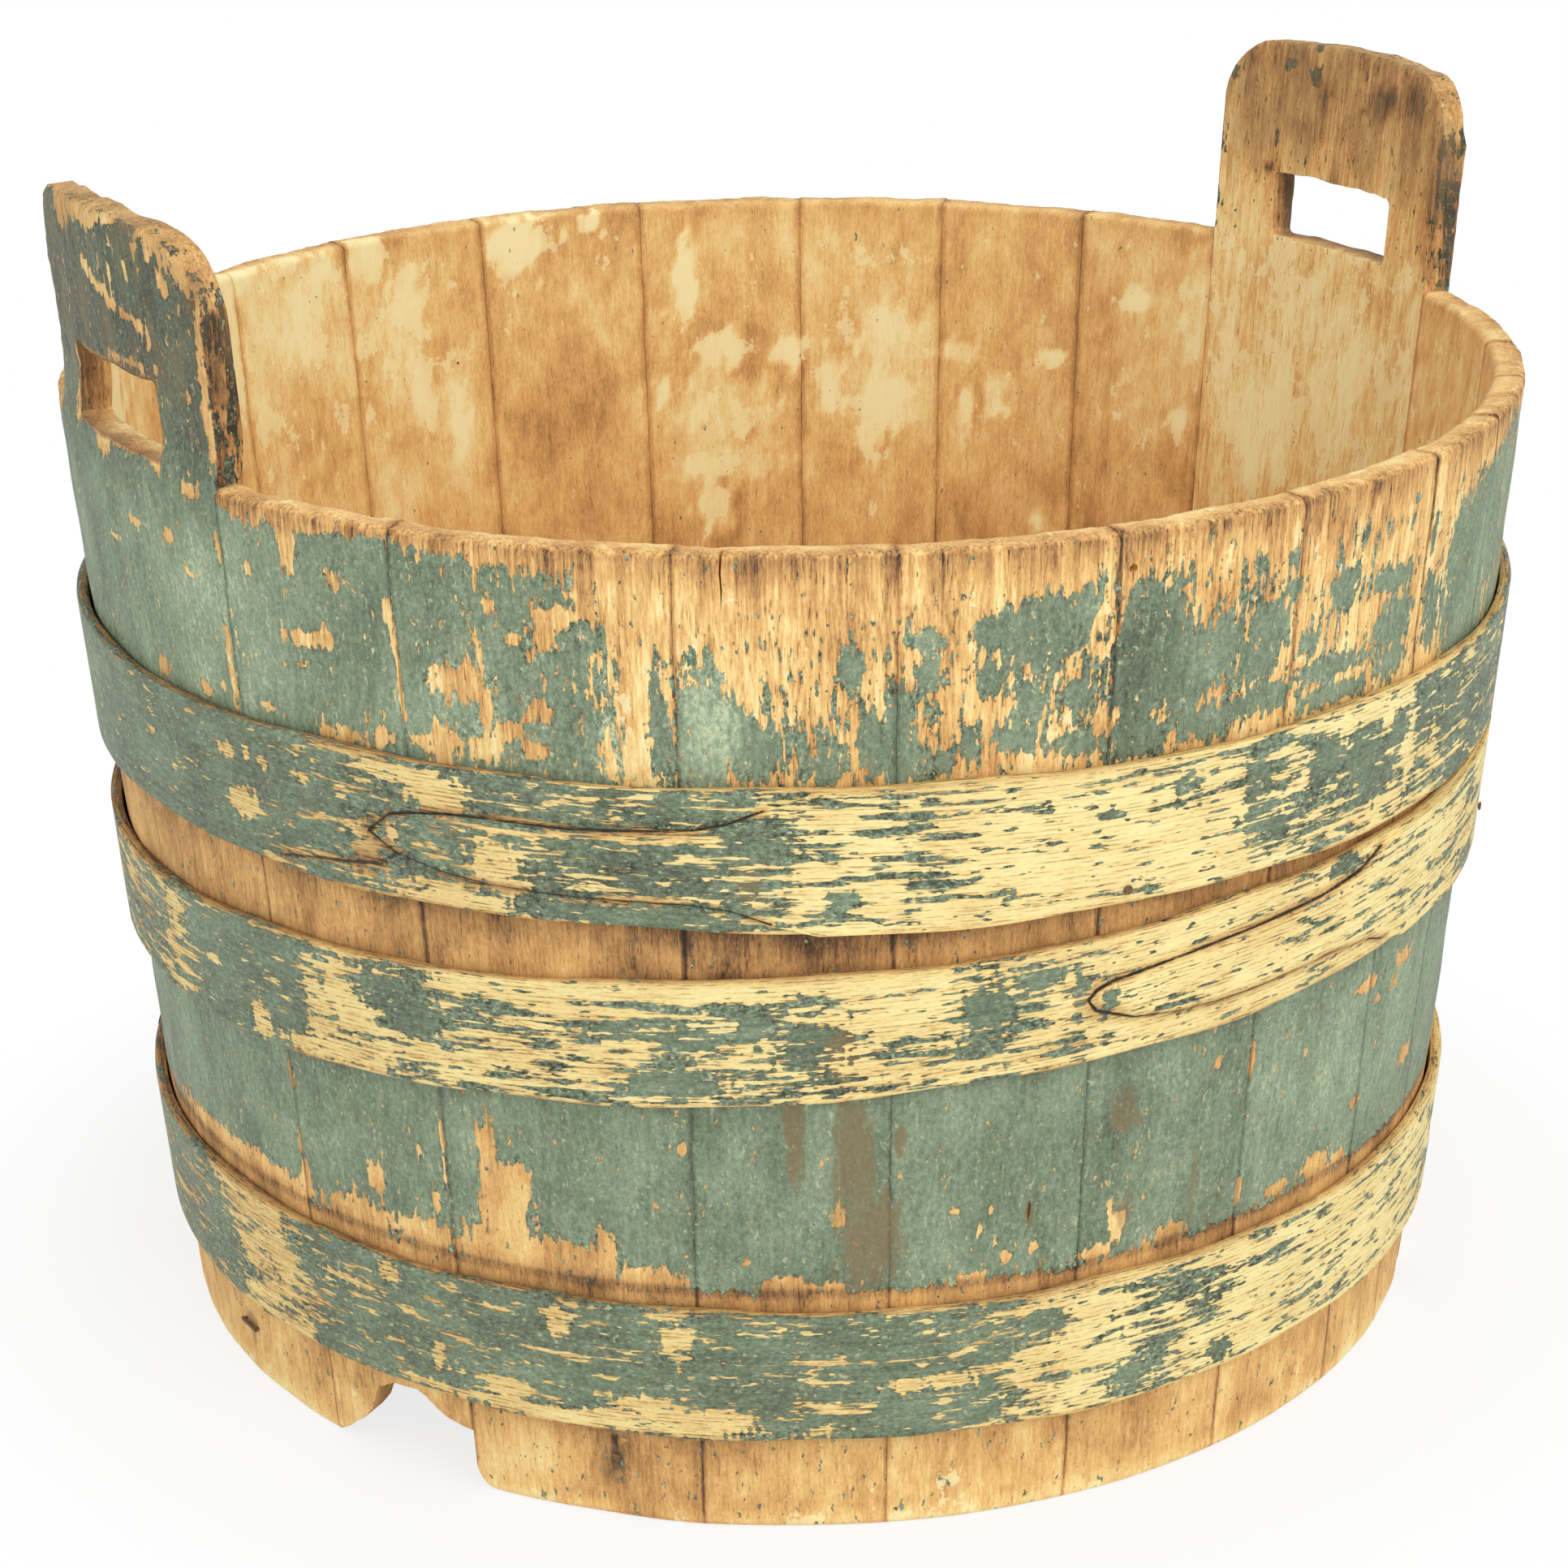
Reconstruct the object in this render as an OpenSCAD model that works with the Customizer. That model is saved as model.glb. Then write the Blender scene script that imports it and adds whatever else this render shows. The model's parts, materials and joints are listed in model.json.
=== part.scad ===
// Stave-built wooden wash tub with two raised handle staves and three split-wood hoops.
// Lengths are in millimetres and angles in degrees.
// The axis of the tub is Z, the feet stand on Z = 0 and the two handle staves lie on the X axis.
// Angles round the tub are counted from +X towards +Y.

/* [Tub wall] */
// Outer radius at the rim
rim_r = 290; // [250:1:340]
// Outer radius at the foot
foot_r = 260.5; // [225:0.5:300]
// Height of the rim above the floor
rim_h = 388; // [330:1:450]
// Thickness of a stave
wall_t = 13; // [11:0.5:18]
// Open joint left between two dried-out staves
joint_gap = 0.3; // [0.2:0.05:0.6]
// Worn rounding of the rim
rim_round = 4; // [2:0.5:5]
// Worn rounding of the outer foot edge
foot_round = 3; // [1:0.5:4]
// Bevel of the inner foot edge
foot_bevel = 4; // [1:0.5:5]

/* [Handle staves] */
// Width of a handle stave, along the rim
handle_w = 152; // [135:1:170]
// Height of the grip above the hand slot
grip_h = 58.5; // [45:0.5:75]
// Radius of the two top corners
handle_corner_r = 27; // [8:1:40]
// Radius of the arched top edge
handle_arch_r = 620; // [400:10:1200]
// Width of the hand slot
slot_w = 77; // [70:1:95]
// Height of the hand slot
slot_h = 28.5; // [24:0.5:34]
// Sill of the hand slot above the rim
slot_rise = 3; // [2:0.5:12]
// Shift of a hand slot off the middle of its stave, anticlockwise
slot_shift = 2.5; // [-6:0.5:6]
// Easing cut on the outer edge of the hand slot
slot_ease = 1.5; // [0.5:0.25:2.5]

/* [Bottom] */
// Height of the bottom's underside above the floor
bottom_z = 36; // [28:0.5:39]
// Thickness of a bottom board
board_t = 14; // [12:0.5:18]
// Depth of the groove in the staves that holds the bottom
croze_depth = 5; // [3:0.5:6]
// Height of the bevel under the bottom's edge
edge_bevel = 4; // [2:0.5:6]
// Clearance of the bottom in its groove
croze_fit = 0.3; // [0.2:0.05:0.5]
// Diameter of the dowels between the bottom boards
dowel_d = 7; // [5:0.5:8]
// Length of a dowel
dowel_l = 40; // [28:1:50]
// Distance between two dowels along a joint
dowel_pitch = 118; // [80:1:130]
// Clearance round a dowel
dowel_fit = 0.15; // [0.1:0.05:0.3]

/* [Hoops] */
// Thickness of a hoop strip
hoop_t = 5; // [4:0.25:7]
// Clearance between a hoop and the wall
hoop_fit = 0.3; // [0.2:0.05:0.5]
// Lower edge of the upper hoop
upper_z = 250.5; // [245:0.5:262]
// Width of the upper hoop strip
upper_w = 54; // [48:0.5:60]
// Middle of the middle hoop on the axis of the tub
middle_z = 208.5; // [200:0.5:212]
// Width of the middle hoop strip
middle_w = 49; // [42:0.5:52]
// Slope of the middle hoop, which has slipped on one side
middle_tilt = 3.4; // [0:0.1:4]
// Lower edge of the lower hoop
lower_z = 42; // [41:0.5:60]
// Width of the lower hoop strip
lower_w = 55; // [46:0.5:62]

/* [Locked laps] */
// Length of a lap from its shoulders to the tip of its tongue
lap_l = 150; // [120:1:170]
// Width of the tongue at its shoulders
tongue_w = 28; // [20:0.5:34]
// Width of the tongue near its tip
tongue_tip_w = 17; // [12:0.5:20]
// Length of the arrow point
arrow_l = 11; // [6:0.5:16]
// Length over which the shoulders narrow the strip
shoulder_l = 36; // [20:1:50]
// Length of the outer strip beyond its shoulders
lap_tail = 130; // [90:1:150]
// Height of the outer strip over the inner one
lap_rise = 2.4; // [1.5:0.1:3.5]
// Offset of the outer strip's round from the tub's axis, which lets the rise fade away
lap_shift = 10; // [8:0.5:14]
// Depth of the notch that takes the arrow point
notch_depth = 2; // [1:0.25:3]
// Play of the arrow point in its notch
notch_play = 3; // [1:0.5:5]

/* [Broken feet] */
// Width of the piece that broke off the last front stave
break_w = 50; // [30:1:56]
// Drop of the splinter that is left beside the next stave
break_lip = 11; // [5:0.5:16]
// Depth of the chip in the corner that still stands
chip_depth = 5; // [2:0.5:8]
// Width of the corner that broke off under the right handle
corner_w = 20; // [10:1:30]
// Height of that corner
corner_h = 17; // [8:1:26]
// Radius to which the corner beside the larger break is worn
worn_corner_r = 12; // [4:1:20]

/* [Nails and staple] */
// Diameter of a nail shank
nail_d = 2.2; // [1.8:0.1:3]
// Diameter of a nail head
nail_head_d = 5.5; // [4:0.5:8]
// Thickness of a nail head
nail_head_t = 1; // [0.6:0.1:1.6]
// Length of a nail under its head
nail_l = 13; // [10:0.5:15]
// Clearance round a nail shank and under its head
nail_fit = 0.15; // [0.1:0.05:0.3]
// Distance between the legs of the staple
staple_w = 11; // [8:0.5:16]
// Thickness of the staple wire
staple_d = 1.4; // [1:0.1:2]
// Length of a staple leg
staple_l = 9; // [6:0.5:11]
// Height of the foot nail above the floor
foot_nail_z = 27.5; // [20:0.5:32]
// Height of the upper hoop's nail above the hoop's lower edge
upper_nail_rise = 6; // [4:0.5:30]
// Height of the middle hoop's nail above the floor
middle_nail_z = 210; // [206:0.5:240]
// Height of the staple above the floor
staple_z = 23; // [16:0.5:30]
// Diameter of the hole that a lost nail left under the rim
lost_nail_d = 3.2; // [2:0.1:5]
// Depth of that hole
lost_nail_depth = 9; // [5:0.5:10]
// Distance of that hole from the rim
lost_nail_drop = 13.5; // [9:0.5:40]

/* [Hidden] */
$fn = 180;

// Widths of the hand-made staves along the rim, from the right handle to the left one.
// They share the arc between the two handle staves.
front_widths = [92, 56, 64, 59, 77, 77, 77, 75, 102, 80];
back_widths = [73, 73, 71, 80, 83, 78, 75, 75, 75, 75];
// Widths of the bottom boards, which share the diameter of the bottom
board_widths = [86, 108, 118, 104, 96];

// The front staves whose feet are broken
broken_stave = 10;
corner_stave = 3;

// Directions, in degrees, of the tips of the tongues, of the nails and of the staple
upper_tip_a = -151;
middle_tip_a = -100;
lower_tip_a = 96;
foot_nail_a = -136.2;
upper_nail_a = -97.4;
middle_nail_a = -44.6;
lost_nail_a = -97.9;
staple_a = -177.9;

upper_nail_z = upper_z + upper_nail_rise;

// How far a cutting shape runs past the wood
over = foot_round / 3;

wood = "#C9985C";
worn_wood = "#B98A55";
paint = "#6B8877";
hoop_wood = "#E2C68C";
iron = "#4A3A30";

// Lean of the wall and its radius at a height
wall_slope = (rim_r - foot_r) / rim_h;
wall_lean = atan(wall_slope);
function wall_r(z) = foot_r + wall_slope * z;
function inner_r(z) = wall_r(z) - wall_t;

// Angle that a length along the rim covers
function rim_angle(length) = length / rim_r * 180 / PI;
handle_a = rim_angle(handle_w);
gap_a = rim_angle(joint_gap);
open_a = 180 - handle_a;

// Sum of the first n values of a list
function first_sum(list, n) = n == 0 ? 0 : list[n - 1] + first_sum(list, n - 1);
function share(list, n) = first_sum(list, n) / first_sum(list, len(list));

// Angle of joint n, counted from the right handle along the front or the back
function front_joint(n) = -handle_a / 2 - open_a * share(front_widths, n);
function back_joint(n) = handle_a / 2 + open_a * share(back_widths, n);

// Points of an arc
function arc(x, y, r, start, end, steps) =
    [for (i = [0 : steps]) let (a = start + (end - start) * i / steps) [x + r * cos(a), y + r * sin(a)]];

// Bottom: groove and edge
croze_low = bottom_z + edge_bevel - croze_fit;
croze_high = bottom_z + board_t + croze_fit;
croze_r = inner_r(bottom_z + board_t / 2) + croze_depth;
bottom_r = croze_r - croze_fit;

// Sill and middle of the hand slot, and top of the handles
slot_z = rim_h + slot_rise;
slot_mid_z = slot_z + slot_h / 2;
handle_h = slot_z + slot_h + grip_h;

// Cross-section of a stave whose top lies at a height, seen along the joint
function stave_section(top, top_round) = concat(
    arc(wall_r(0) - foot_round, foot_round, foot_round, -90, 0, 4),
    arc(wall_r(top) - top_round, top - top_round, top_round, 0, 90, 5),
    arc(inner_r(top) + top_round, top - top_round, top_round, 90, 180, 5),
    [
        [inner_r(croze_high), croze_high],
        [croze_r, croze_high],
        [croze_r, croze_low],
        [inner_r(croze_low), croze_low],
        [inner_r(foot_bevel * 2), foot_bevel * 2],
        [inner_r(0) + foot_bevel, 0]
    ]
);

// Part of the wall between two directions, less half a joint on each side
module wall_between(a, b, top, top_round) {
    rotate([0, 0, a + gap_a / 2])
        rotate_extrude(angle = b - a - gap_a)
            polygon(stave_section(top, top_round));
}

// Stands a shape that was drawn on the X axis at a place on the wall, square to the wall
module on_wall(a, r, z) {
    rotate([0, 0, a])
        translate([r, 0, z])
            rotate([0, 90 + wall_lean, 0])
                children();
}

// One nail, or the hole for it: Z runs out of the wall and the head starts at Z = 0
module nail_shape(play) {
    translate([0, 0, -nail_l - play])
        cylinder(h = nail_l + play + nail_fit, d = nail_d + 2 * play, $fn = 24);
    if (play == 0)
        translate([0, 0, nail_fit])
            cylinder(h = nail_head_t, d = nail_head_d, $fn = 32);
}

// Outer face of a hoop at a height
function hoop_face(z) = wall_r(z) + hoop_fit + hoop_t;

// Middle of the lap whose tongue points in a direction, and the rise of its outer strip elsewhere
function lap_middle(tip_a) = tip_a + rim_angle(lap_l) / 2;
function lap_lift(tip_a, a) = max(0, lap_rise - lap_shift * (1 - cos(a - lap_middle(tip_a))));

module foot_nail_shape(play) on_wall(foot_nail_a, wall_r(foot_nail_z), foot_nail_z) nail_shape(play);
module upper_nail_shape(play) {
    face_r = hoop_face(upper_nail_z) + lap_lift(upper_tip_a, upper_nail_a);
    on_wall(upper_nail_a, face_r, upper_nail_z) nail_shape(play);
}
module middle_nail_shape(play) on_wall(middle_nail_a, hoop_face(middle_nail_z), middle_nail_z) nail_shape(play);

// The staple, or the holes for its legs
module staple_shape(play) {
    on_wall(staple_a, wall_r(staple_z), staple_z) {
        for (side = [-1, 1])
            translate([0, side * staple_w / 2, -staple_l - play])
                cylinder(h = staple_l + play + nail_fit, d = staple_d + 2 * play, $fn = 24);
        if (play == 0)
            translate([-staple_d / 2, -staple_w / 2 - staple_d / 2, nail_fit])
                cube([staple_d, staple_w + staple_d, staple_d]);
    }
}

// Holes of the nails that reach into the wall, and the one that a lost nail left
module nail_holes() {
    lost_z = rim_h - lost_nail_drop;
    foot_nail_shape(nail_fit);
    upper_nail_shape(nail_fit);
    middle_nail_shape(nail_fit);
    on_wall(lost_nail_a, wall_r(lost_z), lost_z)
        translate([0, 0, -lost_nail_depth])
            cylinder(h = lost_nail_depth + over, d = lost_nail_d, $fn = 24);
}

// Cuts an outline through the foot at a joint: its X runs along the wall and its Y up.
// With side 1 it runs clockwise from the joint, with side -1 the other way.
module through_foot(joint_a, side, depth) {
    rotate([0, 0, joint_a])
        translate([rim_r, 0, 0])
            rotate([90, 0, -90])
                mirror([side < 0 ? 1 : 0, 0, 0])
                    linear_extrude(height = rim_r - foot_r + depth)
                        children();
}

// The piece that broke off along the groove of the bottom, from the joint with the next stave,
// and the chip out of the outer face of the corner that still stands
module broken_foot() {
    joint_a = front_joint(broken_stave - 1);
    top = croze_low - foot_round;
    through_foot(joint_a, 1, 2 * wall_t)
        polygon([
            [-over, -over],
            [-over, top - break_lip],
            [break_w * 0.24, top - break_lip * 0.8],
            [break_w * 0.38, top - break_lip * 0.3],
            [break_w * 0.5, top],
            [break_w * 0.74, top - break_lip * 0.1],
            [break_w * 0.9, top - break_lip * 0.5],
            [break_w * 0.96, top - break_lip * 1.2],
            [break_w * 1.05, top - break_lip * 1.9],
            [break_w * 1.18, top - break_lip * 2.45],
            [break_w * 1.42, foot_round * 0.5],
            [break_w * 1.5, -over]
        ]);
    through_foot(joint_a, 1, chip_depth)
        polygon([
            [break_w * 0.9, -over],
            [break_w * 0.9, foot_round * 3],
            [break_w * 2, foot_round * 12],
            [break_w * 2, -over]
        ]);
}

// The corner that broke off a foot at a joint
module lost_corner(joint_a, side, w, h) {
    through_foot(joint_a, side, 2 * wall_t)
        polygon([
            [-over, -over],
            [-over, h],
            [w * 0.45, h * 0.92],
            [w * 0.8, h * 0.6],
            [w, -over]
        ]);
}

// The corner that wear has rounded off a foot at a joint
module rounded_corner(joint_a, side, r) {
    difference() {
        through_foot(joint_a, side, 2 * wall_t)
            translate([-over, -over])
                square(r + over);
        through_foot(joint_a, side, 3 * wall_t)
            translate([r, r])
                circle(r = r, $fn = 64);
    }
}

// A plain stave between two joints
module plain_stave(a, b) {
    wall_between(a, b, rim_h, rim_round);
}

module front_stave(n) {
    color(paint)
        difference() {
            plain_stave(front_joint(n), front_joint(n - 1));
            nail_holes();
            if (n == broken_stave)
                broken_foot();
            if (n == broken_stave - 1)
                rounded_corner(front_joint(n), -1, worn_corner_r);
            if (n == corner_stave)
                lost_corner(front_joint(n - 1), 1, corner_w, corner_h);
        }
}

module back_stave(n) {
    color(paint)
        plain_stave(back_joint(n - 1), back_joint(n));
}

// Side view of a handle stave along X: straight sides, an arched top and two round corners
module handle_outline() {
    half_w = wall_r(handle_h) * sin(handle_a / 2);
    corner_y = half_w - handle_corner_r;
    shoulder_drop = handle_arch_r - sqrt(pow(handle_arch_r, 2) - pow(corner_y, 2));
    corner_z = handle_h - shoulder_drop - handle_corner_r;
    depth = 4 * wall_t + rim_r - foot_r;
    translate([foot_r - 2 * wall_t, 0, 0]) {
        intersection() {
            translate([0, -corner_y, -over])
                cube([depth, 2 * corner_y, handle_h + 2 * over]);
            translate([0, 0, handle_h - handle_arch_r])
                rotate([0, 90, 0])
                    cylinder(h = depth, r = handle_arch_r, $fn = 720);
        }
        translate([0, -half_w - over, -over])
            cube([depth, 2 * (half_w + over), corner_z + over]);
        for (side = [-1, 1])
            translate([0, side * corner_y, corner_z])
                rotate([0, 90, 0])
                    cylinder(h = depth, r = handle_corner_r, $fn = 96);
    }
}

// Hand slot, with its outer edge eased
module hand_slot() {
    depth = 2 * wall_t;
    mid_r = wall_r(slot_mid_z) - wall_t / 2;
    rotate([0, 0, rim_angle(slot_shift)]) {
        translate([mid_r - depth, -slot_w / 2, slot_z])
            cube([2 * depth, slot_w, slot_h]);
        for (side = [-1, 1])
            translate([wall_r(slot_mid_z), 0, slot_mid_z + side * slot_h / 2])
                rotate([0, 45, 0])
                    cube([slot_ease, slot_w, slot_ease], center = true);
    }
}

// A handle stave on +X
module handle_stave() {
    difference() {
        intersection() {
            wall_between(-handle_a / 2, handle_a / 2, handle_h + wall_t, rim_round);
            handle_outline();
        }
        hand_slot();
    }
}

module handle_stave_right() {
    color(paint)
        handle_stave();
}

module handle_stave_left() {
    color(paint)
        difference() {
            rotate([0, 0, 180])
                handle_stave();
            staple_shape(nail_fit);
        }
}

// Solid cone that follows the wall at a distance, over the height of a hoop that may slope
module wall_cone(distance, z_mid, width, tilt) {
    reach = width / 2 + rim_r * sin(tilt) + hoop_t;
    z_low = z_mid - reach;
    translate([0, 0, z_low])
        cylinder(h = 2 * reach, r1 = wall_r(z_low) + distance, r2 = wall_r(z_low + 2 * reach) + distance);
}

// Flat slab between the two edges of a hoop, which slopes up towards a direction
module hoop_slab(z_mid, width, tilt, tilt_a) {
    translate([0, 0, z_mid])
        rotate([0, 0, tilt_a])
            rotate([0, -tilt, 0])
                translate([-2 * rim_r, -2 * rim_r, -width / 2])
                    cube([4 * rim_r, 4 * rim_r, width]);
}

// Outline of the outer strip: the arrow tip at 0, the shoulders and the full width after lap_l
module strip_outline(width) {
    polygon([
        [0, 0],
        [arrow_l, -tongue_tip_w / 2],
        [lap_l - shoulder_l, -tongue_w / 2],
        [lap_l - shoulder_l / 2, -tongue_w * 0.6],
        [lap_l, -width],
        [lap_l + lap_tail, -width],
        [lap_l + lap_tail, width],
        [lap_l, width],
        [lap_l - shoulder_l / 2, tongue_w * 0.6],
        [lap_l - shoulder_l, tongue_w / 2],
        [arrow_l, tongue_tip_w / 2]
    ]);
}

// Outline of the notch round the arrow tip
module notch_outline() {
    polygon([
        [-notch_play * 2, 0],
        [arrow_l * 0.4, -tongue_tip_w / 2 - notch_play / 2],
        [arrow_l, -tongue_tip_w / 2],
        [arrow_l * 2, 0],
        [arrow_l, tongue_tip_w / 2],
        [arrow_l * 0.4, tongue_tip_w / 2 + notch_play / 2]
    ]);
}

// Cuts an outline through the wall: its X runs round the tub from the tip, its Y along the wall
module through_wall(tip_a, mid_a, z) {
    tip_s = rim_r * sin(mid_a - tip_a);
    rotate([0, 0, mid_a])
        translate([foot_r / 2, -tip_s, z])
            rotate([90, 0, 90])
                linear_extrude(height = rim_r)
                    children();
}

// A hoop: one split strip whose outer end lies over its inner end in a locked lap
module hoop(z_mid, width, tip_a, tilt, tilt_a) {
    mid_a = lap_middle(tip_a);
    lap_z = z_mid + wall_r(z_mid) * tan(tilt) * cos(mid_a - tilt_a) - width * 0.06;
    intersection() {
        difference() {
            union() {
                wall_cone(hoop_fit + hoop_t, z_mid, width, tilt);
                intersection() {
                    translate([lap_shift * cos(mid_a), lap_shift * sin(mid_a), 0])
                        wall_cone(hoop_fit + hoop_t + lap_rise - lap_shift, z_mid, width, tilt);
                    through_wall(tip_a, mid_a, lap_z)
                        strip_outline(width);
                }
            }
            wall_cone(hoop_fit, z_mid, width + 4 * hoop_t, tilt);
            difference() {
                through_wall(tip_a, mid_a, lap_z)
                    notch_outline();
                wall_cone(hoop_fit + hoop_t - notch_depth, z_mid, width + 4 * hoop_t, tilt);
                through_wall(tip_a, mid_a, lap_z)
                    strip_outline(width);
            }
        }
        hoop_slab(z_mid, width, tilt, tilt_a);
    }
}

module hoop_upper() {
    color(hoop_wood)
        difference() {
            hoop(upper_z + upper_w / 2, upper_w, upper_tip_a, 0, 0);
            upper_nail_shape(nail_fit);
        }
}

// Direction towards which the middle hoop slopes up
middle_tilt_a = -31;

module hoop_middle() {
    color(hoop_wood)
        difference() {
            hoop(middle_z, middle_w, middle_tip_a, middle_tilt, middle_tilt_a);
            middle_nail_shape(nail_fit);
        }
}

module hoop_lower() {
    color(hoop_wood)
        hoop(lower_z + lower_w / 2, lower_w, lower_tip_a, 0, 0);
}

// Round bottom with its bevelled edge
module bottom_disc() {
    rotate_extrude()
        polygon([
            [0, bottom_z],
            [bottom_r - croze_depth - 2 * edge_bevel, bottom_z],
            [bottom_r - croze_depth - edge_bevel / 2, bottom_z + edge_bevel],
            [bottom_r, bottom_z + edge_bevel],
            [bottom_r, bottom_z + board_t],
            [0, bottom_z + board_t]
        ]);
}

// Place of board joint n across the bottom
function board_joint(n) = -bottom_r + 2 * bottom_r * share(board_widths, n);

// The dowels of joint n, or the holes for them
module dowels_at(n, play) {
    for (i = [-1 : 1])
        translate([i * dowel_pitch, board_joint(n) - dowel_l / 2 - play, bottom_z + board_t / 2])
            rotate([-90, 0, 0])
                cylinder(h = dowel_l + 2 * play, d = dowel_d + 2 * play, $fn = 32);
}

module bottom_board(n) {
    first = n == 1 ? -rim_r : board_joint(n - 1) + joint_gap / 2;
    last = n == len(board_widths) ? rim_r : board_joint(n) - joint_gap / 2;
    color(worn_wood)
        difference() {
            intersection() {
                bottom_disc();
                translate([-rim_r, first, bottom_z - over])
                    cube([2 * rim_r, last - first, board_t + 2 * over]);
            }
            if (n > 1)
                dowels_at(n - 1, dowel_fit);
            if (n < len(board_widths))
                dowels_at(n, dowel_fit);
        }
}

module bottom_dowels() {
    color(wood)
        for (n = [1 : len(board_widths) - 1])
            dowels_at(n, 0);
}

module foot_nail() {
    color(iron)
        foot_nail_shape(0);
}

module hoop_upper_nail() {
    color(iron)
        upper_nail_shape(0);
}

module hoop_middle_nail() {
    color(iron)
        middle_nail_shape(0);
}

module foot_staple() {
    color(iron)
        staple_shape(0);
}

handle_stave_right();
handle_stave_left();
front_stave(1);  // front_stave_01
front_stave(2);  // front_stave_02
front_stave(3);  // front_stave_03
front_stave(4);  // front_stave_04
front_stave(5);  // front_stave_05
front_stave(6);  // front_stave_06
front_stave(7);  // front_stave_07
front_stave(8);  // front_stave_08
front_stave(9);  // front_stave_09
front_stave(10);  // front_stave_10
back_stave(1);  // back_stave_01
back_stave(2);  // back_stave_02
back_stave(3);  // back_stave_03
back_stave(4);  // back_stave_04
back_stave(5);  // back_stave_05
back_stave(6);  // back_stave_06
back_stave(7);  // back_stave_07
back_stave(8);  // back_stave_08
back_stave(9);  // back_stave_09
back_stave(10);  // back_stave_10
hoop_upper();
hoop_middle();
hoop_lower();
bottom_board(1);  // bottom_board_1
bottom_board(2);  // bottom_board_2
bottom_board(3);  // bottom_board_3
bottom_board(4);  // bottom_board_4
bottom_board(5);  // bottom_board_5
bottom_dowels();
foot_nail();
hoop_upper_nail();
hoop_middle_nail();
foot_staple();
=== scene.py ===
"""Old stave-built wash tub: looks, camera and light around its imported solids.

The tub stands on its feet at the origin. Lengths are in metres and directions in degrees, counted
anticlockwise from the right handle, so the visible front lies between about -200 and -45 degrees.
"""

from __future__ import annotations

import json
import logging
import math
from contextlib import contextmanager
from dataclasses import dataclass
from enum import Enum
from typing import Callable, Iterator, Sequence

import bmesh
import bpy
import numpy as np
from mathutils import Matrix, Vector

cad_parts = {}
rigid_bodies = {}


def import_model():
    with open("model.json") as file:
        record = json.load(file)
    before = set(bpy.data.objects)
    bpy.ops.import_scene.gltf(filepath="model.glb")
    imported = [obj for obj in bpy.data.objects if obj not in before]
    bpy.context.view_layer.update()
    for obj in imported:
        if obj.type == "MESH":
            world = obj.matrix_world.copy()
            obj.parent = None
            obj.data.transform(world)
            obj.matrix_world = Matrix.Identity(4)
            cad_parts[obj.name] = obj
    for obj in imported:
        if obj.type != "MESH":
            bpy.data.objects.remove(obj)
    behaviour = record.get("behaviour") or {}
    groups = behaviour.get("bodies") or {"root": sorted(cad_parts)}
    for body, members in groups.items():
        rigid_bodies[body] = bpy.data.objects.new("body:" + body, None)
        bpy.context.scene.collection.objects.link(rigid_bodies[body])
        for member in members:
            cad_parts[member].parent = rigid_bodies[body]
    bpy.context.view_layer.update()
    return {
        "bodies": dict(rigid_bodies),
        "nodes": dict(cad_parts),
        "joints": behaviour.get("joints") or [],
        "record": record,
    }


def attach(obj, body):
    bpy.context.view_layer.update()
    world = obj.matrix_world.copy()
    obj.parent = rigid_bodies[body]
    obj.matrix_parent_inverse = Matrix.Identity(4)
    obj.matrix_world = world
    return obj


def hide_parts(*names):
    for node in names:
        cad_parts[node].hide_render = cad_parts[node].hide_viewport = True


log = logging.getLogger("wash_tub")

MM = 0.001
BODY = "root"

Socket = bpy.types.NodeSocket
Value = Socket | float | Sequence[float]
Mark = tuple[float, ...]
Stops = Sequence[tuple[float, float]]


# Numbers and fields


def turn(angle: np.ndarray | float, other: np.ndarray | float) -> np.ndarray | float:
    """Gives the shortest turn from one direction to another.

    Args:
        angle: Where the turn ends, in degrees.
        other: Where it starts, in degrees.

    Returns:
        The turn, between -180 and 180 degrees.
    """
    return (angle - other + 180.0) % 360.0 - 180.0


def ease(value: np.ndarray, low: float, high: float) -> np.ndarray:
    """Rises smoothly from 0 at low to 1 at high.

    Args:
        value: The numbers to ease.
        low: Where the rise starts.
        high: Where it ends. It may lie below low, and the rise then falls.

    Returns:
        Numbers between 0 and 1.
    """
    t = np.clip((value - low) / (high - low), 0.0, 1.0)
    return t * t * (3.0 - 2.0 * t)


def ripple(place: np.ndarray, size: float, seed: int) -> np.ndarray:
    """Gives smooth unevenness that neighbouring pieces share.

    Args:
        place: One row of coordinates for each vertex.
        size: Typical length of a wave.
        seed: Chooses the pattern.

    Returns:
        Numbers between about -1 and 1.
    """
    draw = np.random.default_rng(seed)
    out = np.zeros(len(place))
    for _ in range(9):
        way = draw.normal(size=3)
        way *= draw.uniform(0.6, 1.7) / np.linalg.norm(way)
        out += np.sin(math.tau / size * (place @ way) + draw.uniform(0.0, math.tau))
    return out / 4.5


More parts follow.
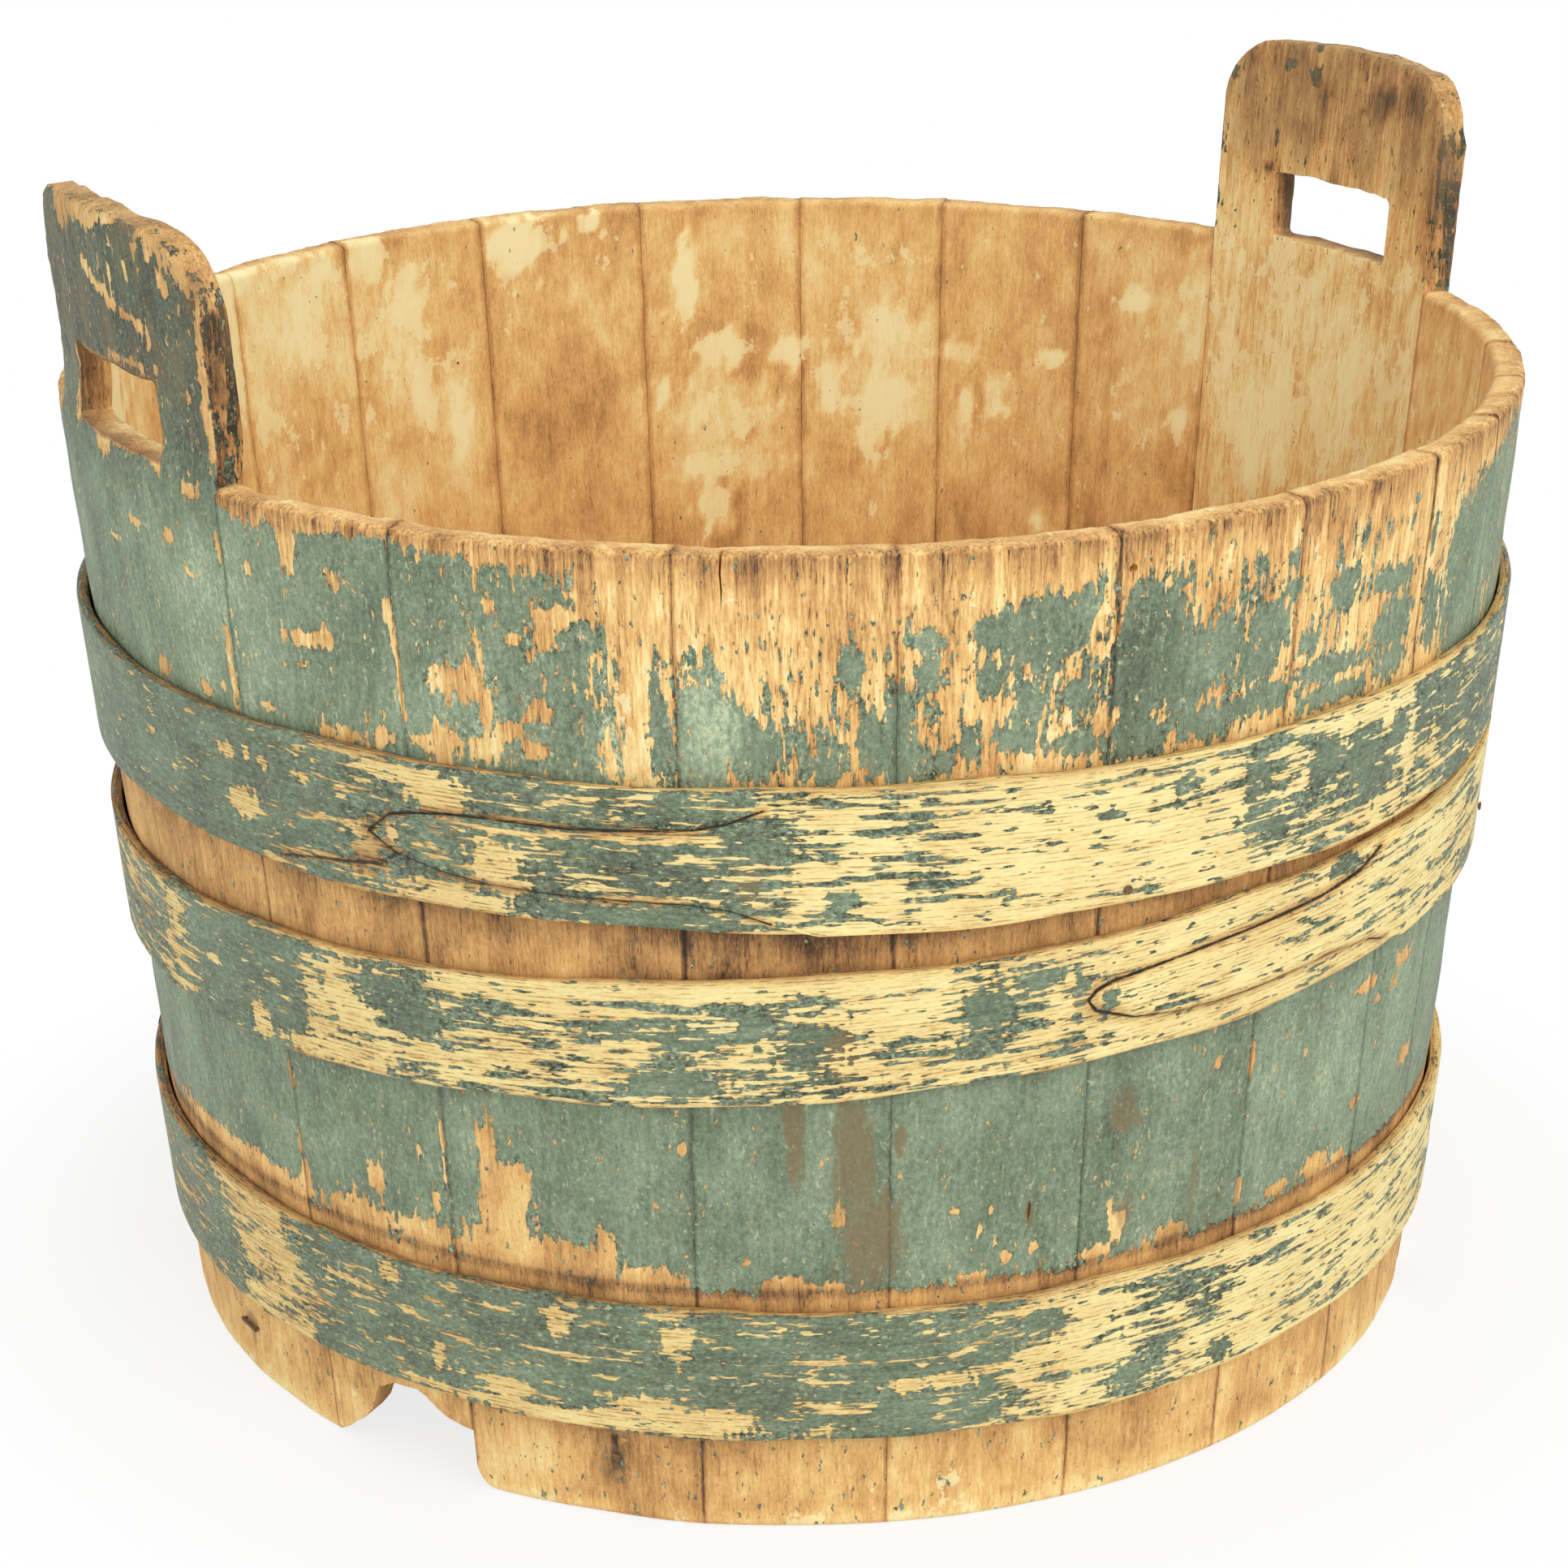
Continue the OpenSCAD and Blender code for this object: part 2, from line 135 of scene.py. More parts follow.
@dataclass(frozen=True)
class Wall:
    """The leaning wall that all staves share."""

    foot_r: float = 0.2605
    rim_r: float = 0.290
    rim_z: float = 0.388
    thickness: float = 0.013
    rim_round: float = 0.0028
    foot_round: float = 0.003
    foot_bevel: float = 0.006
    croze_low: float = 0.0397
    croze_high: float = 0.0503
    croze_depth: float = 0.005

    @property
    def slope(self) -> float:
        """How far the wall leans out for each metre of height."""
        return (self.rim_r - self.foot_r) / self.rim_z

    def outer(self, z: np.ndarray | float) -> np.ndarray | float:
        """Radius of the outer face at a height."""
        return self.foot_r + self.slope * z

    def inner(self, z: np.ndarray | float) -> np.ndarray | float:
        """Radius of the inner face at a height."""
        return self.outer(z) - self.thickness

    def arc(self, length: float) -> float:
        """Angle in degrees that a length takes along the rim."""
        return math.degrees(length / self.rim_r)


WALL = Wall()


@dataclass
class Spots:
    """Where the vertices of a piece lie on the tub: direction, height and depth in the wall."""

    angle: np.ndarray
    z: np.ndarray
    depth: np.ndarray

    @classmethod
    def of(cls, piece: bpy.types.Object, face: Callable[[np.ndarray], np.ndarray]) -> Spots:
        """Reads the places of a piece's vertices.

        Args:
            piece: A mesh object at the origin.
            face: Gives the radius of the outer face at a height.

        Returns:
            The directions in degrees, and the heights and depths in millimetres.
        """
        x, y, z = read_points(piece).T
        depth = face(z) - np.hypot(x, y)
        return cls(np.degrees(np.arctan2(y, x)), z / MM, depth / MM)

    def ends(self) -> np.ndarray:
        """Gives the distance in millimetres from each vertex to the nearer side joint of its stave."""
        swing = np.radians(self.angle)
        middle = np.degrees(np.arctan2(np.sin(swing).mean(), np.cos(swing).mean()))
        away = turn(self.angle, middle)
        return np.radians(np.minimum(away.max() - away, away - away.min())) * WALL.rim_r / MM

    def near(self, mark: Mark) -> np.ndarray:
        """Gives how much of a mark lies on each vertex, from 0 to 1."""
        angle, z, half_w, half_h = mark[:4]
        along = np.radians(turn(self.angle, angle)) * (WALL.outer(z * MM) / MM)
        up = self.z - z
        ragged = (np.sin(along * 0.9 + angle) * np.sin(up * 0.31 + z)
                  + 0.7 * np.sin(along * 2.1 + up * 0.4 + z)
                  + 0.5 * np.sin(up * 1.3 - along * 0.5 + angle)
                  + 0.6 * np.sin(along * 1.4 + angle * 3.0))
        away = np.hypot(along / half_w, up / half_h) * (1.0 + 0.2 * ragged)
        return ease(away, 1.6, 0.5)

    def marked(self, base: np.ndarray, marks: Sequence[Mark], value: float = 1.0) -> np.ndarray:
        """Lays marks over a field, one after the other.

        Args:
            base: The field without marks.
            marks: Direction, height, half width and half height of each mark, and its value if it has one.
            value: The value of the others.

        Returns:
            The field with the marks.
        """
        out = base.copy()
        for mark in marks:
            out += ((mark[4] if len(mark) > 4 else value) - out) * self.near(mark)
        return out

    def by_angle(self, stops: Stops) -> np.ndarray:
        """Blends values that are given at some directions.

        Args:
            stops: Directions between -180 and 180 degrees, rising, with a value each.

        Returns:
            The value at each vertex.
        """
        angles, values = zip(*stops)
        return np.interp(self.angle, angles, values, period=360.0)

    def by_height(self, stops: Stops) -> np.ndarray:
        """Blends values that are given at some heights in millimetres."""
        heights, values = zip(*stops)
        return np.interp(self.z, heights, values)


def store(piece: bpy.types.Object, name: str, values: np.ndarray) -> None:
    """Keeps one number for each vertex of a piece, for its material to read.

    Args:
        piece: The mesh object.
        name: Name of the attribute.
        values: One number for each vertex.
    """
    held = piece.data.attributes.new(name, "FLOAT", "POINT")
    held.data.foreach_set("value", values.astype(np.float32))


# Modelling


def focus(piece: bpy.types.Object) -> None:
    """Selects one object alone and makes it active."""
    bpy.ops.object.select_all(action="DESELECT")
    piece.select_set(True)
    bpy.context.view_layer.objects.active = piece


@contextmanager
def editing(piece: bpy.types.Object) -> Iterator[None]:
    """Keeps a piece in edit mode for the length of a with block."""
    focus(piece)
    bpy.ops.object.mode_set(mode="EDIT")
    bpy.context.tool_settings.mesh_select_mode = (True, True, True)
    try:
        yield
    finally:
        bpy.ops.object.mode_set(mode="OBJECT")


class Part(Enum):
    """What a selection is made of."""

    POINTS = 0
    EDGES = 1
    FACES = 2


def pick(piece: bpy.types.Object, part: Part, test: Callable[[Vector], bool]) -> int:
    """Selects, in edit mode, what has its middle where a test says.

    Args:
        piece: The object in edit mode.
        part: What to select.
        test: Says of a place whether it counts.

    Returns:
        How many were selected.
    """
    bpy.context.tool_settings.mesh_select_mode = tuple(part is p for p in Part)
    bpy.ops.mesh.select_all(action="DESELECT")
    shape = bmesh.from_edit_mesh(piece.data)
    count = 0
    if part is Part.POINTS:
        for point in shape.verts:
            point.select = test(point.co)
            count += point.select
    elif part is Part.EDGES:
        for edge in shape.edges:
            if test((edge.verts[0].co + edge.verts[1].co) / 2):
                edge.select_set(True)
                count += 1
    else:
        for face in shape.faces:
            if test(face.calc_center_median()):
                face.select_set(True)
                count += 1
    shape.select_flush_mode()
    bmesh.update_edit_mesh(piece.data)
    return count


def cut(place: Sequence[float], normal: Sequence[float], trim: bool = False) -> None:
    """Cuts everything in edit mode along a plane.

    Args:
        place: A point of the plane.
        normal: The plane's normal.
        trim: Whether what lies on the normal's side goes, and the cut is closed.
    """
    bpy.ops.mesh.select_all(action="SELECT")
    bpy.ops.mesh.bisect(plane_co=place, plane_no=normal, clear_outer=trim, use_fill=trim, threshold=1e-6)


def modify(piece: bpy.types.Object, kind: str, **settings: object) -> None:
    """Puts a modifier on a piece and applies it.

    Args:
        piece: The object.
        kind: Blender's name of the modifier.
        settings: Its settings.
    """
    focus(piece)
    modifier = piece.modifiers.new(kind.title(), kind)
    for key, value in settings.items():
        setattr(modifier, key, value)
    bpy.ops.object.modifier_apply(modifier=modifier.name)


def read_points(piece: bpy.types.Object) -> np.ndarray:
    """Reads a mesh's vertices as one row of coordinates each."""
    flat = np.zeros(len(piece.data.vertices) * 3)
    piece.data.vertices.foreach_get("co", flat)
    return flat.reshape(-1, 3)


def write_points(piece: bpy.types.Object, place: np.ndarray) -> None:
    """Puts a mesh's vertices at new places."""
    piece.data.vertices.foreach_set("co", place.ravel())
    piece.data.update()


def carve(piece: bpy.types.Object, tool: bpy.types.Object) -> None:
    """Takes the shape of a tool out of a piece and removes the tool."""
    modify(piece, "BOOLEAN", operation="DIFFERENCE", solver="EXACT", object=tool)
    bpy.data.objects.remove(tool)


def place_in_mesh(piece: bpy.types.Object) -> None:
    """Moves an object's place, turn and scale into its mesh."""
    focus(piece)
    bpy.ops.object.transform_apply(location=True, rotation=True, scale=True)


def copy_of(piece: bpy.types.Object) -> bpy.types.Object:
    """Copies an object with a mesh of its own."""
    twin = piece.copy()
    twin.data = piece.data.copy()
    bpy.context.scene.collection.objects.link(twin)
    return twin


def punch(outline: Sequence[tuple[float, float]], angle: float, r: float, z: float,
          length: float) -> bpy.types.Object:
    """Makes a cutting tool of some outline that points into the wall.

    Args:
        outline: Corners as millimetres along the wall, anticlockwise, and up.
        angle: Direction of the outline's origin, in degrees.
        r: Radius where the tool starts.
        z: Height of the outline's origin.
        length: How far it reaches in towards the axis.

    Returns:
        The tool.
    """
    bpy.ops.object.select_all(action="DESELECT")
    bpy.ops.mesh.primitive_circle_add(vertices=len(outline), radius=1.0, fill_type="NGON")
    tool = bpy.context.active_object
    for point, (along, up) in zip(tool.data.vertices, outline):
        point.co = (r, along * MM, z + up * MM)
    with editing(tool):
        bpy.ops.mesh.select_all(action="SELECT")
        bpy.ops.mesh.extrude_region_move(TRANSFORM_OT_translate={"value": (-length, 0.0, 0.0)})
        bpy.ops.mesh.select_all(action="SELECT")
        bpy.ops.mesh.normals_make_consistent(inside=False)
    tool.rotation_euler.z = math.radians(angle)
    place_in_mesh(tool)
    return tool


def roughen(piece: bpy.types.Object, size: float, depth: float, where: np.ndarray | None = None) -> None:
    """Lets a surface wander inwards a little, as hand work and wear leave it.

    Args:
        piece: The object.
        size: Width of the waves.
        depth: How deep they go.
        where: How much each vertex takes part, or nothing for all over.
    """
    group = ""
    if where is not None:
        group = piece.vertex_groups.new(name="worn").name
        steps = np.round(np.clip(where, 0.0, 1.0) * 20).astype(int)
        for step in np.unique(steps[steps > 0]):
            piece.vertex_groups[group].add(np.nonzero(steps == step)[0].tolist(), step / 20.0, "REPLACE")
    texture = bpy.data.textures.new("wear_waves", "CLOUDS")
    texture.noise_scale = size
    texture.noise_depth = 3
    modify(piece, "DISPLACE", texture=texture, strength=depth, mid_level=1.0,
           texture_coords="LOCAL", vertex_group=group)


def finish_mesh(piece: bpy.types.Object, name: str, material: bpy.types.Material,
                smooth: float = 38.0) -> bpy.types.Object:
    """Names a piece, smooths its shading and gives it its material.

    Args:
        piece: The object.
        name: Its name.
        material: Its material.
        smooth: Edges sharper than this many degrees stay sharp.

    Returns:
        The same object.
    """
    focus(piece)
    piece.vertex_groups.clear()
    bpy.ops.object.shade_smooth_by_angle(angle=math.radians(smooth))
    piece.name = name
    piece.data.name = name
    piece.data.materials.clear()
    piece.data.materials.append(material)
    return piece


# Shader graphs


def tint(red: int, green: int, blue: int) -> tuple[float, float, float, float]:
    """Turns a colour as a screen shows it, 0 to 255, into the numbers that shaders use."""
    def line(part: int) -> float:
        share = part / 255.0
        return share / 12.92 if share <= 0.04045 else ((share + 0.055) / 1.055) ** 2.4

    return line(red), line(green), line(blue), 1.0


class Graph:
    """A node tree that is being wired."""

    def __init__(self, tree: bpy.types.NodeTree) -> None:
        """Starts on a tree that holds nothing yet, or only what is wanted."""
        self.tree = tree

    def node(self, kind: str, **settings: object) -> bpy.types.Node:
        """Adds a node and sets its properties.

        Args:
            kind: The part of the node's type after ShaderNode.
            settings: Its properties.

        Returns:
            The node.
        """
        made = self.tree.nodes.new("ShaderNode" + kind)
        for key, value in settings.items():
            setattr(made, key, value)
        return made

    def feed(self, socket: Socket, value: Value) -> None:
        """Links a socket to another, or sets its number."""
        if isinstance(value, bpy.types.NodeSocket):
            self.tree.links.new(value, socket)
        else:
            socket.default_value = value

    def math(self, operation: str, first: Value, second: Value = 0.0, third: Value = 0.0) -> Socket:
        """Does one sum and returns its result."""
        made = self.node("Math", operation=operation)
        for socket, value in zip(made.inputs, (first, second, third)):
            self.feed(socket, value)
        return made.outputs[0]

    def about(self, value: Value, weight: Value) -> Socket:
        """Weighs how far a value lies from a half and returns the result."""
        return self.times(self.math("SUBTRACT", value, 0.5), weight)

    def times(self, first: Value, second: Value) -> Socket:
        """Multiplies two values and returns the result."""
        return self.math("MULTIPLY", first, second)

    def total(self, *values: Value) -> Socket:
        """Adds values up and returns the sum."""
        out = values[0]
        for value in values[1:]:
            out = self.math("ADD", out, value)
        return out

    def band(self, value: Value, low: Value, high: Value, to_low: float = 0.0,
             to_high: float = 1.0) -> Socket:
        """Maps a range of numbers smoothly onto another and returns the result."""
        made = self.node("MapRange", interpolation_type="SMOOTHSTEP")
        for name, given in (("Value", value), ("From Min", low), ("From Max", high),
                            ("To Min", to_low), ("To Max", to_high)):
            self.feed(made.inputs[name], given)
        return made.outputs["Result"]

    def mix(self, share: Value, first: Value, second: Value, blend: str = "MIX") -> Socket:
        """Mixes two colours and returns the result."""
        made = self.node("Mix", data_type="RGBA", blend_type=blend)
        self.feed(made.inputs[0], share)
        self.feed(made.inputs[6], first)
        self.feed(made.inputs[7], second)
        return made.outputs[2]

    def ramp(self, value: Value, stops: Sequence[tuple[float, tuple[float, ...]]]) -> Socket:
        """Looks a number up in a row of colours and returns the colour."""
        made = self.node("ValToRGB")
        row = made.color_ramp.elements
        while len(row) < len(stops):
            row.new(0.5)
        for element, (place, colour) in zip(row, stops):
            element.position = place
            element.color = colour
        self.feed(made.inputs[0], value)
        return made.outputs[0]

    def noise(self, vector: Socket, scale: Value, detail: float = 2.0, rough: float = 0.5,
              distortion: float = 0.0) -> Socket:
        """Adds a noise texture and returns its value, from 0 to 1."""
        made = self.node("TexNoise", noise_dimensions="3D")
        self.feed(made.inputs["Vector"], vector)
        self.feed(made.inputs["Scale"], scale)
        made.inputs["Detail"].default_value = detail
        made.inputs["Roughness"].default_value = rough
        made.inputs["Distortion"].default_value = distortion
        return made.outputs[0]

    def stretched(self, vector: Socket, scale: Sequence[float], shift: Value = (0.0, 0.0, 0.0)) -> Socket:
        """Scales and moves coordinates and returns them."""
        made = self.node("VectorMath", operation="MULTIPLY_ADD")
        self.feed(made.inputs[0], vector)
        self.feed(made.inputs[1], scale)
        self.feed(made.inputs[2], shift)
        return made.outputs[0]

    def shown(self) -> Socket:
        """Says whether the camera sees a surface itself, in a reflection or through glass."""
        path = self.node("LightPath")
        mirrored = self.math("MAXIMUM", path.outputs["Is Glossy Ray"], path.outputs["Is Transmission Ray"])
        return self.math("MAXIMUM", path.outputs["Is Camera Ray"], mirrored)

    def stored(self, name: str) -> Socket:
        """Reads a number that a piece keeps for each vertex."""
        made = self.node("Attribute", attribute_type="GEOMETRY", attribute_name=name)
        return made.outputs["Fac"]

    def group(self, tree: bpy.types.NodeTree, **values: Value) -> bpy.types.Node:
        """Places a node group.

        Args:
            tree: The group's tree.
            values: Values for its inputs, with underscores for spaces in their names.

        Returns:
            The group's node.
        """
        made = self.node("Group")
        made.node_tree = tree
        for key, value in values.items():
            self.feed(made.inputs[key.replace("_", " ")], value)
        return made


def new_group(name: str, inputs: Sequence[tuple[str, str, object]],
              outputs: Sequence[tuple[str, str]]) -> tuple[Graph, bpy.types.Node, bpy.types.Node]:
    """Starts a shader node group.

    Args:
        name: The group's name.
        inputs: Name, kind of socket and default of each input.
        outputs: Name and kind of socket of each output.

    Returns:
        The group's graph, its input node and its output node.
    """
    tree = bpy.data.node_groups.new(name, "ShaderNodeTree")
    for label, kind, default in inputs:
        made = tree.interface.new_socket(name=label, in_out="INPUT", socket_type="NodeSocket" + kind)
        if default is not None:
            made.default_value = default
    for label, kind in outputs:
        tree.interface.new_socket(name=label, in_out="OUTPUT", socket_type="NodeSocket" + kind)
    return Graph(tree), tree.nodes.new("NodeGroupInput"), tree.nodes.new("NodeGroupOutput")


class Effects:
    """Effects that several finishes share, each a node group that is built once."""

    def __init__(self) -> None:
        """Builds the groups."""
        self.grain = self._grain()
        self.flaking = self._flaking()
        self.old_paint = self._old_paint()

    @staticmethod
    def _grain() -> bpy.types.NodeTree:
        """Wood along Z of the given coordinates: a tone around 0, fine dark lines and a height."""
        graph, given, out = new_group(
            "wood grain",
            [("Vector", "Vector", None), ("Streaks", "Float", 0.5), ("Clouds", "Float", 0.8)],
            [("Tone", "Float"), ("Lines", "Float"), ("Height", "Float")])
        place = given.outputs["Vector"]
        threads = graph.noise(graph.stretched(place, (1.0, 1.0, 0.014)), 800.0, 2.0, 0.6)
        broad = graph.noise(graph.stretched(place, (1.0, 1.0, 0.05)), 130.0, 3.0, 0.6, 0.4)
        clouds = graph.noise(graph.stretched(place, (1.0, 1.0, 0.6)), 36.0, 5.0, 0.68, 0.2)
        specks = graph.noise(graph.stretched(place, (1.0, 1.0, 0.3)), 1300.0, 2.0, 0.75)
        dashes = graph.noise(graph.stretched(place, (1.0, 1.0, 0.07)), 1150.0, 2.0, 0.6)
        tone = graph.total(
            graph.about(threads, given.outputs["Streaks"]),
            graph.about(broad, graph.times(given.outputs["Streaks"], 0.8)),
            graph.about(clouds, given.outputs["Clouds"]), graph.about(specks, 0.4))
        graph.feed(out.inputs["Tone"], tone)
        graph.feed(out.inputs["Lines"], graph.band(dashes, 0.58, 0.72))
        height = graph.math("SUBTRACT", threads, graph.times(dashes, 0.5))
        graph.feed(out.inputs["Height"], height)
        return graph.tree

    @staticmethod
    def _flaking() -> bpy.types.NodeTree:
        """Paint that breaks off along Z of the given coordinates, where the cover is thin."""
        graph, given, out = new_group(
            "flaking paint",
            [("Vector", "Vector", None), ("Cover", "Float", 1.0), ("Streaks", "Float", 1.0),
             ("Crumbs", "Float", 4.0)],
            [("Paint", "Float"), ("Edge", "Float")])
        place = given.outputs["Vector"]
        flakes = graph.noise(graph.stretched(place, (1.0, 1.0, 0.6)), 85.0, 5.0, 0.68, 0.5)
        streaks = graph.noise(graph.stretched(place, (1.0, 1.0, 0.16)), 380.0, 2.0, 0.65)
        crumbs = graph.noise(graph.stretched(place, (1.0, 1.0, 0.5)), 360.0, 2.0, 0.7)
        level = graph.total(
            given.outputs["Cover"], graph.about(flakes, 2.2), graph.about(streaks, given.outputs["Streaks"]),
            graph.math("POWER", graph.about(crumbs, given.outputs["Crumbs"]), 3.0))
        graph.feed(out.inputs["Paint"], graph.band(level, 0.47, 0.53))
        # Edge: a band round the paint's edges, where the finishes darken the wood as painted shade of the
        # raised paint, with dirt.
        edge = graph.times(graph.band(level, 0.2, 0.47), graph.band(level, 0.7, 0.53))
        graph.feed(out.inputs["Edge"], edge)
        return graph.tree

    @staticmethod
    def _old_paint() -> bpy.types.NodeTree:
        """Colour of old blue-green paint, with pale specks, grain showing through and brown stains."""
        graph, given, out = new_group(
            "old paint",
            [("Vector", "Vector", None), ("Shade", "Float", 0.5), ("Stain", "Float", 0.0),
             ("Cover", "Float", 1.0)],
            [("Color", "Color"), ("Height", "Float"), ("Soaked", "Float")])
        place = given.outputs["Vector"]
        thin = graph.band(given.outputs["Cover"], 1.1, 0.3)
        cloud = graph.noise(graph.stretched(place, (1.0, 1.0, 0.6)), 42.0, 4.0, 0.68)
        fine = graph.noise(graph.stretched(place, (1.0, 1.0, 0.7)), 620.0, 2.0, 0.8)
        lines = graph.noise(graph.stretched(place, (1.0, 1.0, 0.05)), 560.0, 2.0, 0.6)
        shade = graph.total(
            given.outputs["Shade"], graph.about(cloud, 0.8),
            graph.about(fine, graph.math("MULTIPLY_ADD", thin, 1.3, 0.8)), graph.about(lines, 0.3),
            graph.times(thin, -0.06))
        colour = graph.ramp(shade, [
            (0.0, tint(44, 44, 32)), (0.25, tint(84, 94, 74)), (0.5, tint(116, 132, 108)),
            (0.75, tint(146, 164, 136)), (1.0, tint(196, 210, 174))])
        dots = graph.noise(graph.stretched(place, (1.0, 1.0, 0.6)), 430.0, 2.0, 0.7)
        speck = graph.times(graph.band(dots, 0.62, 0.7), graph.math("MULTIPLY_ADD", thin, 0.25, 0.45))
        colour = graph.mix(speck, colour, tint(214, 216, 172))
        runs = graph.noise(graph.stretched(place, (1.0, 1.0, 0.3)), 90.0, 3.0, 0.7)
        soaked = graph.band(graph.math("ADD", given.outputs["Stain"], graph.about(runs, 1.6)), 0.2, 0.95)
        colour = graph.mix(graph.times(soaked, 0.72), colour, tint(126, 106, 70))
        graph.feed(out.inputs["Color"], colour)
        graph.feed(out.inputs["Height"], fine)
        graph.feed(out.inputs["Soaked"], soaked)
        return graph.tree


# How far apart, in metres, the patterns of the first and the last stave are taken.
PATTERN_SHIFT = 7.0
# Colours of the wood from the palest to the darkest.
WOOD_ROW = [
    (0.0, tint(255, 246, 192)), (0.18, tint(249, 226, 160)), (0.36, tint(237, 194, 124)),
    (0.52, tint(212, 163, 100)), (0.7, tint(172, 127, 76)), (0.86, tint(112, 80, 50)),
    (1.0, tint(54, 40, 26))]
STRIP_ROW = [
    (0.0, tint(255, 250, 200)), (0.25, tint(250, 237, 172)), (0.45, tint(238, 212, 142)),
    (0.65, tint(196, 156, 96)), (0.85, tint(124, 94, 58)), (1.0, tint(60, 46, 32))]


@dataclass(frozen=True)
class Finish:
    """One material of the tub."""

    name: str
    effects: Effects

    def start(self) -> tuple[bpy.types.Material, Graph, bpy.types.Node]:
        """Makes an empty material.

        Returns:
            The material, its graph and its surface shader.
        """
        material = bpy.data.materials.new(self.name)
        material.use_nodes = True
        material.node_tree.nodes.clear()
        graph = Graph(material.node_tree)
        shader = graph.node("BsdfPrincipled")
        out = graph.node("OutputMaterial")
        graph.tree.links.new(shader.outputs[0], out.inputs[0])
        return material, graph, shader

    @staticmethod
    def relief(graph: Graph, shader: bpy.types.Node, height: Socket, distance: float) -> None:
        """Turns a height into bumps of the surface.

        Args:
            graph: The material's graph.
            shader: Its surface shader.
            height: The height, from 0 to 1.
            distance: How high 1 is.
        """
        bump = graph.node("Bump")
        bump.inputs["Strength"].default_value = 1.0
        bump.inputs["Distance"].default_value = distance
        graph.feed(bump.inputs["Height"], height)
        graph.feed(shader.inputs["Normal"], bump.outputs[0])


@dataclass(frozen=True)
class PaintedStave(Finish):
    """Stave wood with what is left of its paint outside."""

    def build(self) -> bpy.types.Material:
        """Makes the material."""
        material, graph, shader = self.start()
        own = graph.node("CombineXYZ")
        graph.feed(own.inputs[2], graph.times(graph.stored("stave"), PATTERN_SHIFT))
        place = graph.stretched(graph.node("TexCoord").outputs["Object"], (1.0, 1.0, 1.0), own.outputs[0])
        cover, rough = graph.stored("cover"), graph.stored("rough")
        grain = graph.group(self.effects.grain, Vector=place, Streaks=rough, Clouds=1.05)
        film = graph.group(self.effects.flaking, Vector=place, Cover=cover,
                           Streaks=graph.math("MULTIPLY_ADD", rough, 2.0, 1.0), Crumbs=4.8)
        paint = graph.group(self.effects.old_paint, Vector=place, Shade=graph.stored("shade"),
                            Stain=graph.stored("stain"), Cover=cover)
        # The wood's darkness: stored darkness and grain, and round the paint's edges painted shade of the
        # raised paint with dirt.
        age = graph.total(
            graph.stored("age"), grain.outputs["Tone"],
            graph.times(grain.outputs["Lines"], graph.times(rough, 0.4)),
            graph.times(film.outputs["Edge"], 0.1))
        wood = graph.mix(graph.times(paint.outputs["Soaked"], 0.55), graph.ramp(age, WOOD_ROW),
                         tint(132, 110, 78))
        patches = graph.noise(graph.stretched(place, (1.0, 1.0, 0.7)), 75.0, 4.0, 0.7)
        pale = graph.band(graph.total(graph.stored("age"), graph.about(patches, 1.3)), 0.2, 0.14)
        wood = graph.mix(graph.times(pale, 0.62), wood, tint(255, 245, 190))
        colour = graph.mix(film.outputs["Paint"], wood, paint.outputs["Color"])
        graph.feed(shader.inputs["Base Color"], colour)
        graph.feed(shader.inputs["Roughness"], graph.band(film.outputs["Paint"], 0.0, 1.0, 0.78, 0.62))
        height = graph.total(
            graph.times(film.outputs["Paint"], 0.5),
            graph.times(grain.outputs["Height"], 0.4),
            graph.times(paint.outputs["Height"], 0.2))
        self.relief(graph, shader, height, 0.0006)
        return material


